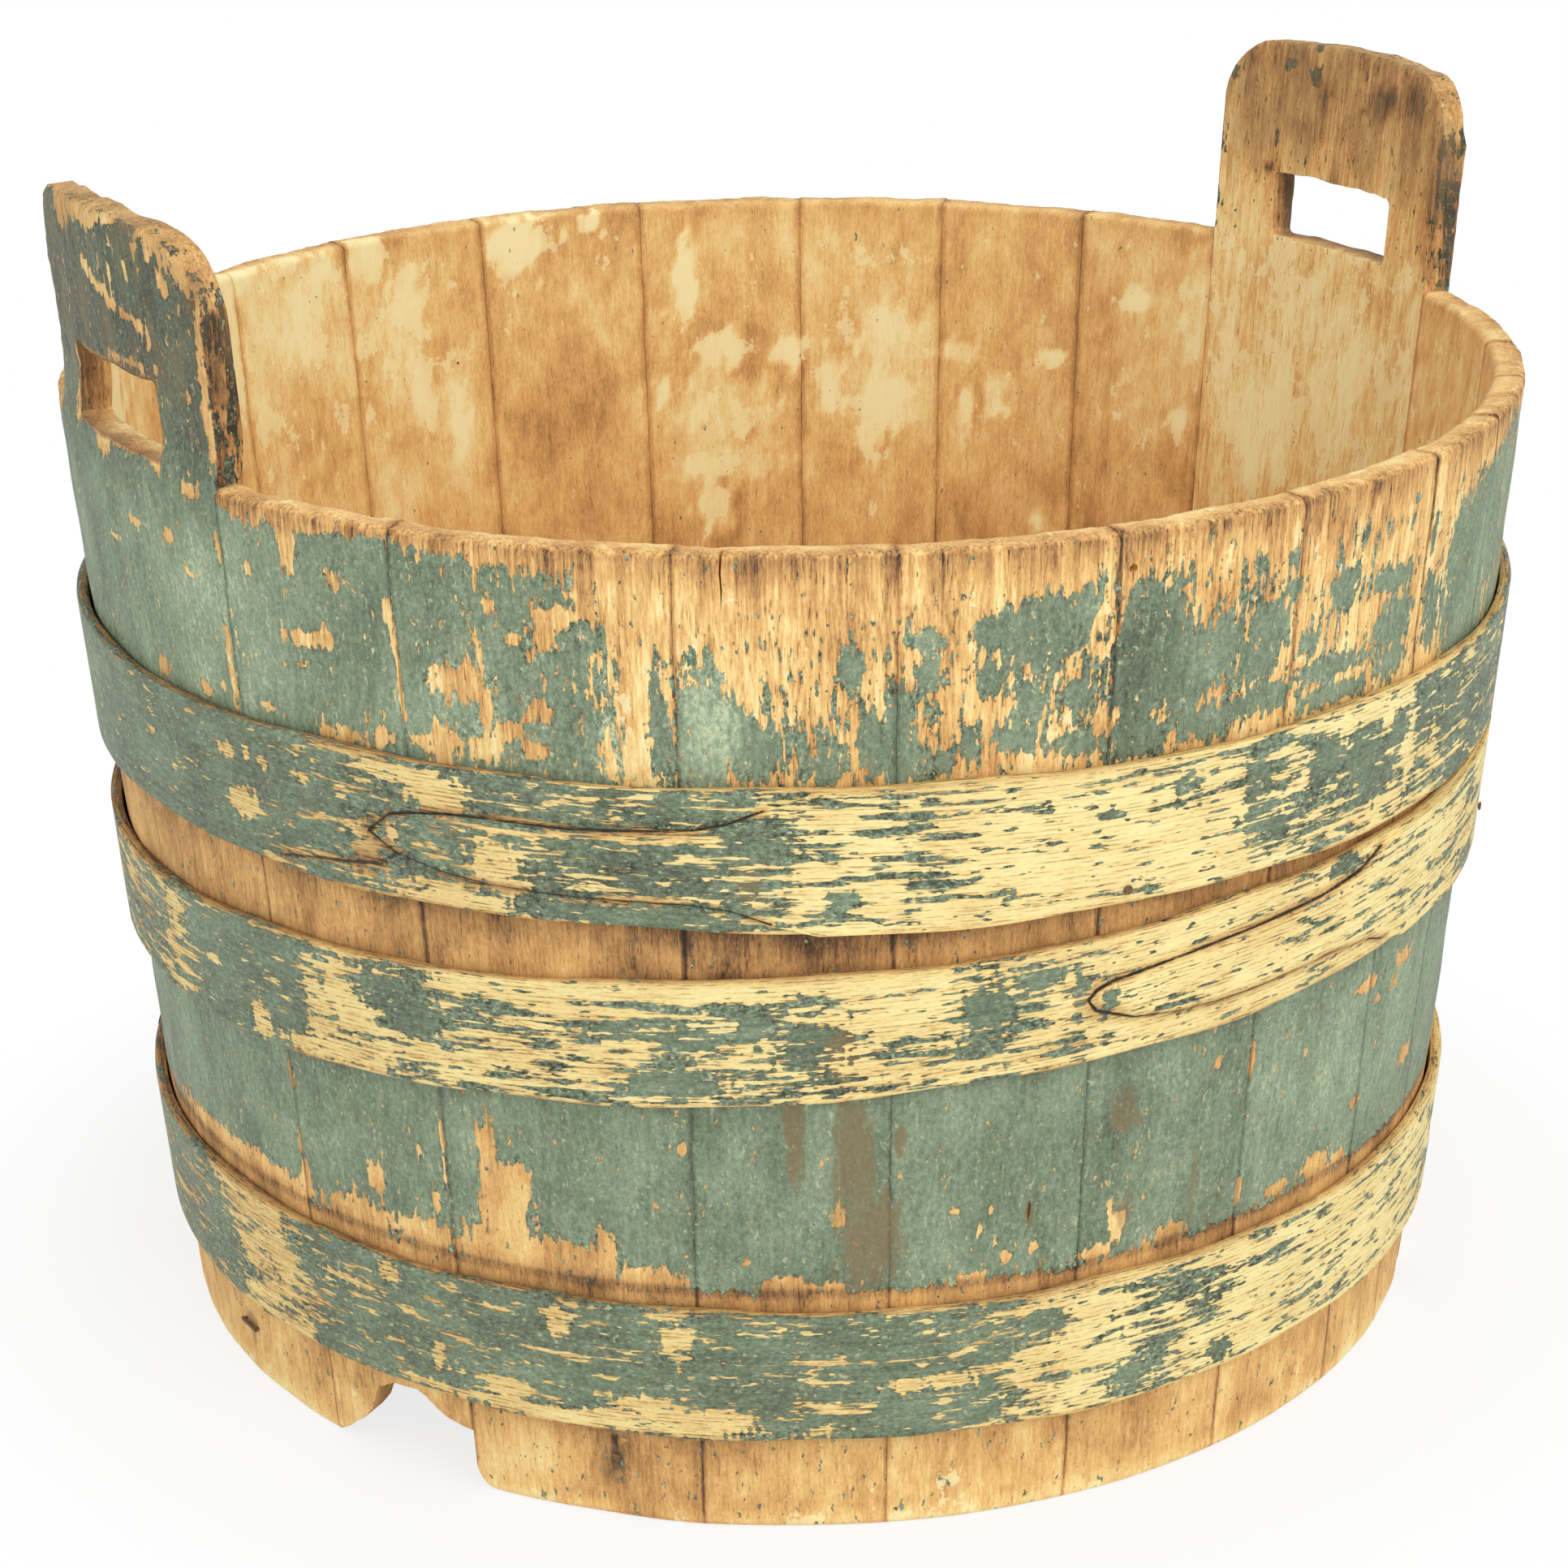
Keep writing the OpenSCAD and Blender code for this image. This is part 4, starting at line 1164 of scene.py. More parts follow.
@dataclass(frozen=True)
class StaveWear:
    """Where a stave has kept its paint, how dark its wood is, in places with painted shade and painted
    light, and what has stained it.
    """

    seed: int

    def face(self, z: np.ndarray) -> np.ndarray:
        """Radius of the stave's outer face at a height."""
        return WALL.outer(z)

    def lay_on(self, piece: bpy.types.Object) -> None:
        """Stores the wear on a stave."""
        spots = Spots.of(piece, self.face)
        joint = ease(spots.ends(), 0.55, 0.2)
        store(piece, "stave", np.full(len(spots.z), (self.seed * 0.137) % 1.0))
        store(piece, "cover", self.cover(spots))
        store(piece, "age", self.age(spots) + 0.3 * joint + 0.03 * math.sin(self.seed * 2.4))
        store(piece, "rough", self.rough(spots))
        store(piece, "shade", self.shade(spots) - 0.25 * joint)
        store(piece, "stain", self.stain(spots))

    @staticmethod
    def only_outside(cover: np.ndarray, spots: Spots) -> np.ndarray:
        """Takes the paint off all but the outer face."""
        return -1.0 + (cover + 1.0) * ease(spots.depth, 4.0, 1.5)

    def rough(self, spots: Spots) -> np.ndarray:
        """How streaky each vertex's wood is: most outside below the rim, least inside."""
        outer = 0.34 + 0.46 * ease(spots.z, 290.0, 320.0)
        return outer + (0.27 - outer) * ease(spots.depth, 5.0, 9.0)

    def cover(self, spots: Spots) -> np.ndarray:
        """How thickly paint covers each vertex."""
        low = spots.marked(GONE + (SOLID - GONE) * ease(spots.z, 99.0, 108.0), LOST_LOW, GONE)
        low = np.where(spots.z > BARE_LOW, GONE, low)
        low = spots.marked(low, ((-95.5, 250, 9, 1.5, 0.9),))
        high = spots.marked(spots.by_angle(COVER_HIGH), LOST_HIGH, GONE)
        high = spots.marked(high, KEPT_HIGH, SOLID)
        rim = spots.by_angle(BARE_RIM)
        high = GONE + (high - GONE) * ease(388.0 - spots.z, rim * 0.4, rim * 1.4)
        return self.only_outside(np.where(spots.z > BARE_HIGH, high, low), spots)

    def age(self, spots: Spots) -> np.ndarray:
        """How dark each vertex's wood is: its age, with painted shadow under the upper hoop, painted shade
        on the broken feet and low inside, and painted light on the inside's upper back.
        """
        z = spots.z
        outer = spots.by_height(DARKNESS_OUTSIDE)
        outer = outer + 0.1 * ease(np.abs(turn(spots.angle, -118.0)), 24.0, 10.0) * (z > 205.0) * (z < 255.0)
        outer = outer + 0.4 * spots.near((-136.2, 29, 1.6, 8)) + 0.12 * spots.near((-136.2, 30, 9, 14))
        # The broken faces of the feet, within the wall's thickness below 40 mm, are darkened as painted
        # shade.
        shaded_breaks = ease(spots.depth, 1.0, 3.0) * ease(spots.depth, 12.0, 10.0)
        outer = outer + 0.3 * shaded_breaks * ease(z, 0.5, 2.0) * (z < 40)
        outer = outer + 0.12 * ease(np.abs(turn(spots.angle, -132.0)), 12.0, 3.0) * ease(z, 60.0, 40.0)
        inner = spots.marked(spots.by_height(DARKNESS_INSIDE), CREAM)
        return outer + (inner - outer) * ease(spots.depth, 5.0, 9.0)

    def shade(self, spots: Spots) -> np.ndarray:
        """How light each vertex's paint is."""
        return spots.marked(np.full(len(spots.z), 0.56), PALE)

    def stain(self, spots: Spots) -> np.ndarray:
        """How brown each vertex's paint has become."""
        return spots.marked(np.zeros(len(spots.z)), STAINS)


GRIP_LOST: tuple[Mark, ...] = (
    (-186, 470, 5, 7), (-184, 474, 9, 5), (-181, 474, 12, 4), (-179.5, 472, 8, 4), (-177, 476, 10, 3.5),
    (-173, 478, 14, 3), (-170, 472, 7, 4), (-168.3, 468, 6, 5), (-166.5, 463, 6, 6), (-165, 456, 4, 12),
    (-181.5, 453, 4, 3, 0.3), (-180, 450, 4, 2.5), (-178.5, 447, 5, 2.5), (-177, 443, 4, 2),
    (-175, 440.5, 5, 1.5), (-173, 438, 3, 2.5), (-172, 436, 2, 4), (-174, 458, 1.5, 4), (-169.5, 458, 2, 4),
    (-168.7, 455, 2, 3), (-176.7, 452, 1.5, 8, 0.4), (-178.3, 455, 2, 7, 0.4), (-170.5, 466, 2, 3),
    (-172.5, 466, 1.2, 3), (-178, 423, 6, 2), (-174.5, 423, 8, 1.5), (-171.5, 424, 3, 1.2),
    (-181, 392, 6, 2), (-178, 391, 5, 2), (-172.5, 390, 2, 4), (-179, 388, 2, 3, 0.4),
    (-165.3, 445, 2.5, 10), (-165.5, 425, 2, 8), (-165.7, 412, 2.5, 9), (-165.3, 402, 2.5, 6),
    (-164.5, 450, 3, 20, 0.3), (-167.7, 417, 2, 3), (-187, 408, 4, 8), (-188, 390, 6, 12, 0.3))
GRIP_KEPT: tuple[Mark, ...] = (
    (14, 459, 2.5, 5), (7.6, 466, 3, 2.5), (4.3, 463, 3, 4), (8.7, 432, 2, 3), (-11, 463, 3, 4, 0.6),
    (-11, 452, 2, 3, 0.5), (4.2, 475, 3, 2))
GRIP_DARK: tuple[Mark, ...] = (
    (-4.2, 456, 9, 7, 0.84), (-6, 460, 4, 4, 0.84), (-14, 425, 2, 34, 0.8), (9.3, 420, 3, 1.5, 0.9),
    (3, 452, 3, 12, 0.74), (-10, 462, 12, 8, 0.72), (12, 470, 8, 5, 0.6), (5, 440, 16, 4, 0.6))


@dataclass(frozen=True)
class HandleWear(StaveWear):
    """The wear of a handle stave, which goes on above the rim."""

    inward: float = 0.0

    def face(self, z: np.ndarray) -> np.ndarray:
        """Radius of the stave's outer face at a height."""
        return WALL.outer(z) - self.inward * ease(z, WALL.rim_z - 0.010, WALL.rim_z + 0.020)

    def in_slot(self, spots: Spots) -> np.ndarray:
        """Gives 1 for vertices on the walls of the hand slot."""
        swing = np.radians(turn(2.0 * spots.angle, 0.0) / 2.0) - 2.5 * MM / WALL.rim_r
        along = (self.face(spots.z * MM) / MM - spots.depth) * np.sin(swing)
        inside = (np.abs(along) < 38.9) & (spots.z > 389.2) & (spots.z < 419.9) & (spots.depth < 12.0)
        return inside.astype(float)

    def cover(self, spots: Spots) -> np.ndarray:
        """How thickly paint covers each vertex."""
        count = len(spots.z)
        above = spots.marked(np.full(count, 1.1), LOST_HIGH + GRIP_LOST, GONE)
        above += (0.3 - above) * ease(spots.depth, 0.8, 2.5)
        above = np.where(spots.depth > 10.5, spots.marked(np.full(count, GONE), GRIP_KEPT, 1.1), above)
        above += (0.46 - above) * ease(spots.ends(), 2.5, 0.8) * ease(spots.z, 476.0, 446.0)
        above += (GONE - above) * self.in_slot(spots)
        below = self.only_outside(spots.marked(np.full(count, SOLID), LOST_HIGH, GONE), spots)
        below = np.where(spots.z > BARE_HIGH, below, super().cover(spots))
        return below + (above - below) * ease(spots.z, 385.0, 389.0)

    def age(self, spots: Spots) -> np.ndarray:
        """How dark each vertex's wood is, below the rim as on the plain staves with their painted shade."""
        wall = super().age(spots)
        inner = spots.by_height(((380, 0.25), (400, 0.32), (425, 0.46), (470, 0.54)))
        inner = spots.marked(inner, GRIP_DARK)
        above = 0.4 + (inner - 0.4) * ease(spots.depth, 5.0, 9.0)
        above += 0.14 * ease(spots.depth, 1.0, 3.0) * ease(spots.depth, 12.0, 9.0)
        above += (np.where(spots.z > 392.0, 0.82, 0.62) - above) * self.in_slot(spots)
        return wall + (above - wall) * ease(spots.z, 376.0, 384.0)

    def rough(self, spots: Spots) -> np.ndarray:
        """How streaky each vertex's wood is."""
        return 0.36 + 0.3 * ease(spots.depth, 5.0, 9.0)

    def shade(self, spots: Spots) -> np.ndarray:
        """How light each vertex's paint is."""
        wall = super().shade(spots)
        return wall + (0.22 - wall) * ease(spots.z, 360.0, 425.0)

    def stain(self, spots: Spots) -> np.ndarray:
        """How brown each vertex's paint or wood has become."""
        outer = 0.46 * ease(spots.z, 370.0, 425.0)
        inner = 0.62 * ease(spots.z, 385.0, 440.0)
        out = super().stain(spots) + outer + (inner - outer) * ease(spots.depth, 5.0, 9.0)
        return out + (0.75 - out) * self.in_slot(spots)


# Handles


@dataclass
class Handles:
    """The two handle staves."""

    staves: Staves
    slot_w: float = 0.077
    slot_z: float = 0.391
    slot_shift: float = 0.0025
    slot_h: float = 0.0285
    slot_round: float = 0.0025
    top: float = 0.478
    arch_r: float = 0.620
    corner_r: float = 0.027
    inward: float = 0.004
    edge_round: float = 0.0035
    outer_round: float = 0.0055
    inner_round: float = 0.0025
    columns: int = 42

    def corner(self) -> tuple[float, float]:
        """Gives the middle of the round corner at the grip's top: its distance sideways and its height."""
        wall = self.staves.wall
        half_w = wall.outer(self.top) * math.sin(math.radians(wall.arc(self.staves.handle_w) / 2))
        across = half_w - self.corner_r
        return across, self.top - self.arch_r + math.sqrt(self.arch_r**2 - across**2) - self.corner_r

    def trim_top(self, piece: bpy.types.Object) -> None:
        """Cuts the arched top and its two round corners."""
        wall = self.staves.wall
        corner_y, corner_z = self.corner()
        arch_z = self.top - self.arch_r
        shoulder = math.asin(corner_y / self.arch_r)
        with editing(piece):
            for share in np.linspace(-1.0, 1.0, 13):
                lean = float(share) * shoulder
                normal = (0.0, math.sin(lean), math.cos(lean))
                cut((0.0, self.arch_r * normal[1], arch_z + self.arch_r * normal[2]), normal, trim=True)
            for side in (-1.0, 1.0):
                for degrees in range(12, 90, 11):
                    lean = math.radians(degrees)
                    y = side * (corner_y + self.corner_r * math.sin(lean))
                    z = corner_z + self.corner_r * math.cos(lean)
                    swing = math.asin(y / wall.outer(z))
                    cut((wall.outer(z) * math.cos(swing), y, z),
                        (-side * math.sin(lean) * math.sin(swing), side * math.sin(lean) * math.cos(swing),
                         math.cos(lean)), trim=True)

    def cut_slot(self, piece: bpy.types.Object) -> None:
        """Cuts the hand slot through the stave."""
        wall = self.staves.wall
        middle_z = self.slot_z + self.slot_h / 2
        bpy.ops.object.select_all(action="DESELECT")
        bpy.ops.mesh.primitive_cube_add(
            size=1.0, location=(wall.rim_r, 0.0, middle_z),
            scale=(4 * wall.thickness, self.slot_w, self.slot_h))
        tool = bpy.context.active_object
        place_in_mesh(tool)
        with editing(tool):
            pick(tool, Part.EDGES, lambda p: abs(p.y) > self.slot_w * 0.45
                 and abs(p.z - middle_z) > self.slot_h * 0.45)
            bpy.ops.mesh.bevel(offset=self.slot_round, segments=3)
        tool.rotation_euler.z = math.radians(wall.arc(self.slot_shift))
        place_in_mesh(tool)
        carve(piece, tool)

    def soften(self, piece: bpy.types.Object) -> None:
        """Rounds the worn edges above the rim and eases the joints below it."""
        rim = self.staves.wall.rim_z
        with editing(piece):
            cut((0.0, 0.0, rim - 0.002), (0.0, 0.0, 1.0))
        shape = bmesh.new()
        shape.from_mesh(piece.data)
        weight = shape.edges.layers.float.new("bevel_weight_edge")
        for edge in shape.edges:
            middle = (edge.verts[0].co + edge.verts[1].co) / 2
            if middle.z > rim - 0.001 and edge.calc_face_angle(0.0) > math.radians(40.0):
                in_slot = (abs(middle.y - self.slot_shift) < self.slot_w / 2 + MM
                           and middle.z < self.slot_z + self.slot_h + MM)
                outside = math.hypot(middle.x, middle.y) > self.staves.wall.outer(middle.z) - 0.004
                edge[weight] = 0.4 if in_slot else 1.0 if outside else 0.6
        shape.to_mesh(piece.data)
        shape.free()
        modify(piece, "BEVEL", width=self.edge_round, segments=3, limit_method="WEIGHT")
        modify(piece, "BEVEL", width=self.staves.edge_round, segments=2, limit_method="ANGLE",
               angle_limit=math.radians(55.0))

    def round_top(self, piece: bpy.types.Object) -> None:
        """Rounds the worn outer and inner edges along the top of the grip."""
        wall = self.staves.wall
        corner_y, corner_z = self.corner()
        for outside, size in ((True, self.outer_round), (False, self.inner_round)):
            place = read_points(piece)
            radius = np.hypot(place[:, 0], place[:, 1])
            across = wall.outer(place[:, 2]) * place[:, 1] / radius
            side = np.abs(across) - corner_y
            over = place[:, 2] - corner_z
            in_corner = (side > 0.0) & (over > 0.0)
            reach = np.maximum(np.hypot(side, over), MM)
            below = np.where(in_corner, self.corner_r - reach,
                             self.top - self.arch_r + np.sqrt(self.arch_r**2 - across**2) - place[:, 2])
            depth = wall.outer(place[:, 2]) - radius
            inward = depth if outside else wall.thickness - depth
            most = size * ease(over, -0.004, 0.006)
            from_face = np.maximum(most - inward, 0.0)
            from_top = np.maximum(most - below, 0.0)
            far = np.maximum(np.hypot(from_face, from_top), 1e-9)
            share = 1.0 - np.minimum(most / far, 1.0)
            step = (1.0 if outside else -1.0) * share * from_face
            drop = share * from_top
            place[:, 2] -= drop * np.where(in_corner, over / reach, 1.0)
            place[:, 1] -= drop * np.where(in_corner, side / reach, 0.0) * np.sign(across)
            place[:, :2] *= (1.0 - step / radius)[:, None]
            write_points(piece, place)

    def lean_in(self, piece: bpy.types.Object) -> None:
        """Bends the grip a little towards the axis, as the old stave has warped."""
        place = read_points(piece)
        share = ease(place[:, 2], self.staves.wall.rim_z - 0.010, self.staves.wall.rim_z + 0.020)
        place[:, :2] *= (1.0 - share * self.inward / self.staves.wall.rim_r)[:, None]
        write_points(piece, place)

    def build(self) -> list[tuple[bpy.types.Object, str]]:
        """Makes both handle staves.

        Returns:
            Each stave with the name of its node.
        """
        half = self.staves.wall.arc(self.staves.handle_w) / 2
        section = self.staves.section(self.top + 0.004, False, False)
        stave = self.staves.turned(section, -half, half, self.columns)
        bpy.data.objects.remove(section)
        self.trim_top(stave)
        self.cut_slot(stave)
        self.soften(stave)
        with editing(stave):
            for z in (*np.arange(0.004, 0.44, 0.004), *np.arange(0.44, 0.476, 0.0025)):
                cut((0.0, 0.0, float(z)), (0.0, 0.0, 1.0))
        self.round_top(stave)
        made = []
        for word, angle in (("right", 0.0), ("left", 180.0)):
            piece = copy_of(stave)
            piece.rotation_euler.z = math.radians(angle)
            place_in_mesh(piece)
            if word == "left":
                self.staves.refine(piece)
                self.lean_in(piece)
            self.staves.wear_down(piece, 0.0, 0.0)
            roughen(piece, 0.045, 0.0004, ease(read_points(piece)[:, 2], 0.388, 0.392))
            wear = HandleWear(41) if word == "right" else HandleWear(42, self.inward)
            wear.lay_on(piece)
            made.append((finish_mesh(piece, f"handle_{word}", self.staves.material), f"handle_stave_{word}"))
        bpy.data.objects.remove(stave)
        return made


# Hoops


@dataclass(frozen=True)
class Lap:
    """Outline of a hoop's tongue: degrees from its tip and millimetres from the strip's middle."""

    tip: float
    top: tuple[tuple[float, float], ...]
    bottom: tuple[tuple[float, float], ...]
    slit: tuple[tuple[float, float], ...] = ()
    length: float = 29.64


@dataclass
class Hoop:
    """One hoop of split wood, whose outer end narrows to a tongue over its inner end."""

    name: str
    z: float
    width: float
    lap: Lap
    material: bpy.types.Material
    seed: float
    tilt: float = 0.0
    tilt_towards: float = -31.0
    fit: float = 0.0003
    thickness: float = 0.005
    rise: float = 0.0024
    rise_shift: float = 0.010
    edge_round: float = 0.0011
    wall: Wall = WALL

    def face(self, z: np.ndarray | float) -> np.ndarray | float:
        """Radius of the strip's outer face at a height."""
        return self.wall.outer(z) + self.fit + self.thickness

    def level(self, angle: np.ndarray | float) -> np.ndarray | float:
        """Height of the strip's middle in a direction."""
        swing = self.wall.outer(self.z) * math.tan(math.radians(self.tilt))
        return self.z + swing * np.cos(np.radians(angle - self.tilt_towards))

    def lift(self, angle: np.ndarray) -> np.ndarray:
        """How far the outer strip rides up over the inner one, negative where it has ended."""
        middle = self.lap.tip + self.lap.length / 2
        return self.rise - self.rise_shift * (1.0 - np.cos(np.radians(angle - middle)))

    def seam(self, angle: np.ndarray, up: np.ndarray) -> np.ndarray:
        """Measures how far places on the strip lie from the edge of the tongue or from its slit.

        Args:
            angle: Directions in degrees.
            up: Heights above the strip's middle in millimetres.

        Returns:
            Millimetres.
        """
        per_degree = math.radians(float(self.face(self.z))) / MM
        step = turn(angle, self.lap.tip)
        away = np.full(len(step), 25.0)
        for line in (self.lap.top, self.lap.bottom, self.lap.slit):
            for (start, low), (end, high) in zip(line, line[1:]):
                run, climb = (end - start) * per_degree, high - low
                along, over = (step - start) * per_degree, up - low
                share = np.clip((along * run + over * climb) / (run**2 + climb**2), 0.0, 1.0)
                away = np.minimum(away, np.hypot(along - share * run, over - share * climb))
        # Near the tongue's tip the distances are shrunk, which widens the painted shadow line there.
        return away / np.interp(step, (-6.0, -1.0, 2.0, 5.0), (1.0, 1.7, 1.5, 1.0))

    def by_tongue(self, place: Vector) -> bool:
        """Says whether a place lies close to the edge of the tongue or to its slit."""
        angle = math.degrees(math.atan2(place.y, place.x))
        step = turn(angle, self.lap.tip)
        if not -9.5 < step < self.lap.length + 1.0:
            return False
        up = (place.z - self.level(angle)) / MM
        low, high = (float(np.interp(step, *zip(*line))) for line in (self.lap.bottom, self.lap.top))
        if step >= 0.0:
            return min(abs(up - low), abs(up - high)) < 3.0 or (step < 2.5 and low < up < high)
        slit = float(np.interp(step, *zip(*self.lap.slit[::-1]))) if self.lap.slit else low
        return abs(up - slit) < 3.0 or (step > -1.0 and abs(up - low) < 4.0)

    def press_seam(self, piece: bpy.types.Object) -> None:
        """Sinks the outer faces along the seam of the tongue, as its edges are worn round."""
        place = read_points(piece)
        spots = Spots.of(piece, self.face)
        away = self.seam(spots.angle, (place[:, 2] - self.level(spots.angle)) / MM)
        depth = 0.0011 * np.exp(-(away / 1.6) ** 2) * ease(spots.depth, -0.5, -1.2)
        place[:, :2] *= (1.0 - depth / np.hypot(place[:, 0], place[:, 1]))[:, None]
        write_points(piece, place)

    @staticmethod
    def seen(place: Vector) -> bool:
        """Says whether a place lies on the tub's visible front."""
        return abs(turn(math.degrees(math.atan2(place.y, place.x)), -121.0)) < 84.0

    def outside(self, place: Vector) -> bool:
        """Says whether a place lies on the strip's outer face or further out."""
        return math.hypot(place.x, place.y) > self.face(place.z) - 0.7 * MM

    def runs_through(self, edge: bmesh.types.BMEdge) -> bool:
        """Says whether an edge of the section runs level from face to face, between the strip's edges."""
        start, end = (point.co for point in edge.verts)
        return (abs(start.z - end.z) < 1e-7 and abs(start.x - end.x) > self.thickness * 0.9
                and abs(start.z - self.z) < self.width * 0.47)

    def ring(self) -> bpy.types.Object:
        """Spins the strip's section round the tub."""
        low = -self.width / 2
        bpy.ops.object.select_all(action="DESELECT")
        bpy.ops.mesh.primitive_plane_add(
            size=1.0, location=(self.face(self.z + low) - self.thickness / 2, 0.0, self.z),
            rotation=(math.pi / 2, 0.0, 0.0))
        piece = bpy.context.active_object
        piece.scale = (self.thickness, self.width, 1.0)
        place_in_mesh(piece)
        with editing(piece):
            pick(piece, Part.POINTS, lambda p: p.z > self.z)
            bpy.ops.transform.translate(value=(self.wall.slope * self.width, 0.0, 0.0))
            bpy.ops.mesh.select_all(action="SELECT")
            bpy.ops.mesh.bevel(offset=self.edge_round, segments=2, affect="VERTICES")
            for share in np.linspace(-0.44, 0.44, 17):
                cut((0.0, 0.0, self.z + float(share) * self.width), (0.0, 0.0, 1.0))
            bpy.ops.mesh.select_all(action="SELECT")
            bpy.ops.mesh.delete(type="ONLY_FACE")
        with editing(piece):
            shape = bmesh.from_edit_mesh(piece.data)
            inner = [edge for edge in shape.edges if not edge.link_faces and self.runs_through(edge)]
            bmesh.ops.delete(shape, geom=inner, context="EDGES")
            bmesh.update_edit_mesh(piece.data)
            bpy.ops.mesh.select_all(action="SELECT")
            bpy.ops.mesh.spin(steps=560, angle=math.radians(360.0), center=(0.0, 0.0, 0.0),
                              axis=(0.0, 0.0, 1.0))
            bpy.ops.mesh.select_all(action="SELECT")
            bpy.ops.mesh.remove_doubles(threshold=1e-5)
            bpy.ops.mesh.normals_make_consistent(inside=False)
        return piece

    def follow(self, piece: bpy.types.Object) -> None:
        """Slips the strip to its slope, with its radius following the wall."""
        place = read_points(piece)
        angle = np.degrees(np.arctan2(place[:, 1], place[:, 0]))
        radius = np.hypot(place[:, 0], place[:, 1])
        shift = self.level(angle) - self.z
        wave = 0.0006 * np.sin(np.radians(angle) * 9.0 + self.seed * 5.0) + 0.0004 * np.sin(
            np.radians(angle) * 23.0 + self.seed * 11.0)
        edge = np.clip((place[:, 2] - self.z) / (self.width / 2), -1.0, 1.0)
        place[:, 2] += shift + wave * edge * np.abs(edge)
        place[:, :2] *= ((radius + self.wall.slope * shift) / radius)[:, None]
        write_points(piece, place)

    def tongue(self) -> bpy.types.Object:
        """Lays the outer end of the strip over the ring."""
        end = self.lap.length / 2 + math.degrees(math.acos(1.0 - self.rise / self.rise_shift)) + 1.0
        bpy.ops.object.select_all(action="DESELECT")
        bpy.ops.mesh.primitive_grid_add(x_subdivisions=150, y_subdivisions=14, size=1.0)
        piece = bpy.context.active_object
        across = read_points(piece)
        share = across[:, 0] + 0.5
        step = end * share**1.25
        half = self.width / 2 / MM
        tops = list(self.lap.top) + [(self.lap.length + 3.0, half), (end, half)]
        bottoms = list(self.lap.bottom) + [(self.lap.length + 3.0, -half), (end, -half)]
        high = np.interp(step, *zip(*tops)) * MM - 0.0002
        low = np.interp(step, *zip(*bottoms)) * MM + 0.0002
        angle = self.lap.tip + step
        z = self.z + low + (high - low) * (across[:, 1] + 0.5)
        radius = self.face(z) + np.maximum(self.lift(angle), -0.0003)
        swing = np.radians(angle)
        write_points(piece, np.stack([radius * np.cos(swing), radius * np.sin(swing), z], -1))
        with editing(piece):
            bpy.ops.mesh.select_all(action="SELECT")
            bpy.ops.mesh.remove_doubles(threshold=1e-5)
            bpy.ops.mesh.normals_make_consistent(inside=False)
            shape = bmesh.from_edit_mesh(piece.data)
            shape.faces.ensure_lookup_table()
            face = shape.faces[0]
            middle = face.calc_center_median()
            if face.normal.dot(Vector((middle.x, middle.y, 0.0))) < 0:
                bpy.ops.mesh.flip_normals()
        modify(piece, "SOLIDIFY", thickness=self.rise + 0.0006, offset=-1.0)
        modify(piece, "BEVEL", width=0.0005, segments=2, limit_method="ANGLE",
               angle_limit=math.radians(50.0))
        return piece

    def spread(self, piece: bpy.types.Object) -> None:
        """Lays the strip flat in a UV map, in metres along and across it."""
        mesh = piece.data
        place = read_points(piece)
        corner = np.zeros(len(mesh.loops), dtype=np.int32)
        mesh.loops.foreach_get("vertex_index", corner)
        total = np.zeros(len(mesh.polygons), dtype=np.int32)
        mesh.polygons.foreach_get("loop_total", total)
        first = np.zeros(len(mesh.polygons), dtype=np.int32)
        mesh.polygons.foreach_get("loop_start", first)
        angle = turn(np.degrees(np.arctan2(place[:, 1], place[:, 0])), -90.0)[corner]
        anchor = np.repeat(angle[first], total)
        angle = anchor + turn(angle, anchor)
        radius = np.hypot(place[:, 0], place[:, 1])[corner]
        z = place[corner, 2]
        across = z - self.level(angle - 90.0) + (self.face(z) - radius)
        layer = mesh.uv_layers.new(name="strip")
        layer.data.foreach_set("uv", np.stack([np.radians(angle) * self.wall.rim_r, across], -1).ravel())

    def build(self, marks: StripMarks) -> tuple[bpy.types.Object, str]:
        """Makes the hoop.

        Args:
            marks: Its wear.

        Returns:
            The hoop and the name of its node.
        """
        ring, tongue = self.ring(), self.tongue()
        focus(ring)
        tongue.select_set(True)
        bpy.ops.object.join()
        while ring.data.uv_layers:
            ring.data.uv_layers.remove(ring.data.uv_layers[0])
        self.follow(ring)
        roughen(ring, 0.03, 0.0005)
        with editing(ring):
            for test in (self.seen, self.by_tongue):
                pick(ring, Part.FACES, lambda p: test(p) and self.outside(p))
                bpy.ops.mesh.subdivide(number_cuts=1)
        self.press_seam(ring)
        self.spread(ring)
        HoopWear(self, marks).lay_on(ring)
        return finish_mesh(ring, f"hoop_strip_{self.name}", self.material), f"hoop_{self.name}"


@dataclass(frozen=True)
class StripMarks:
    """The wear of one hoop: directions with a value each, and marks in heights as if it sat level."""

    cover: Stops
    lost: tuple[Mark, ...]
    kept: tuple[Mark, ...]
    stains: tuple[Mark, ...]
    age: Stops


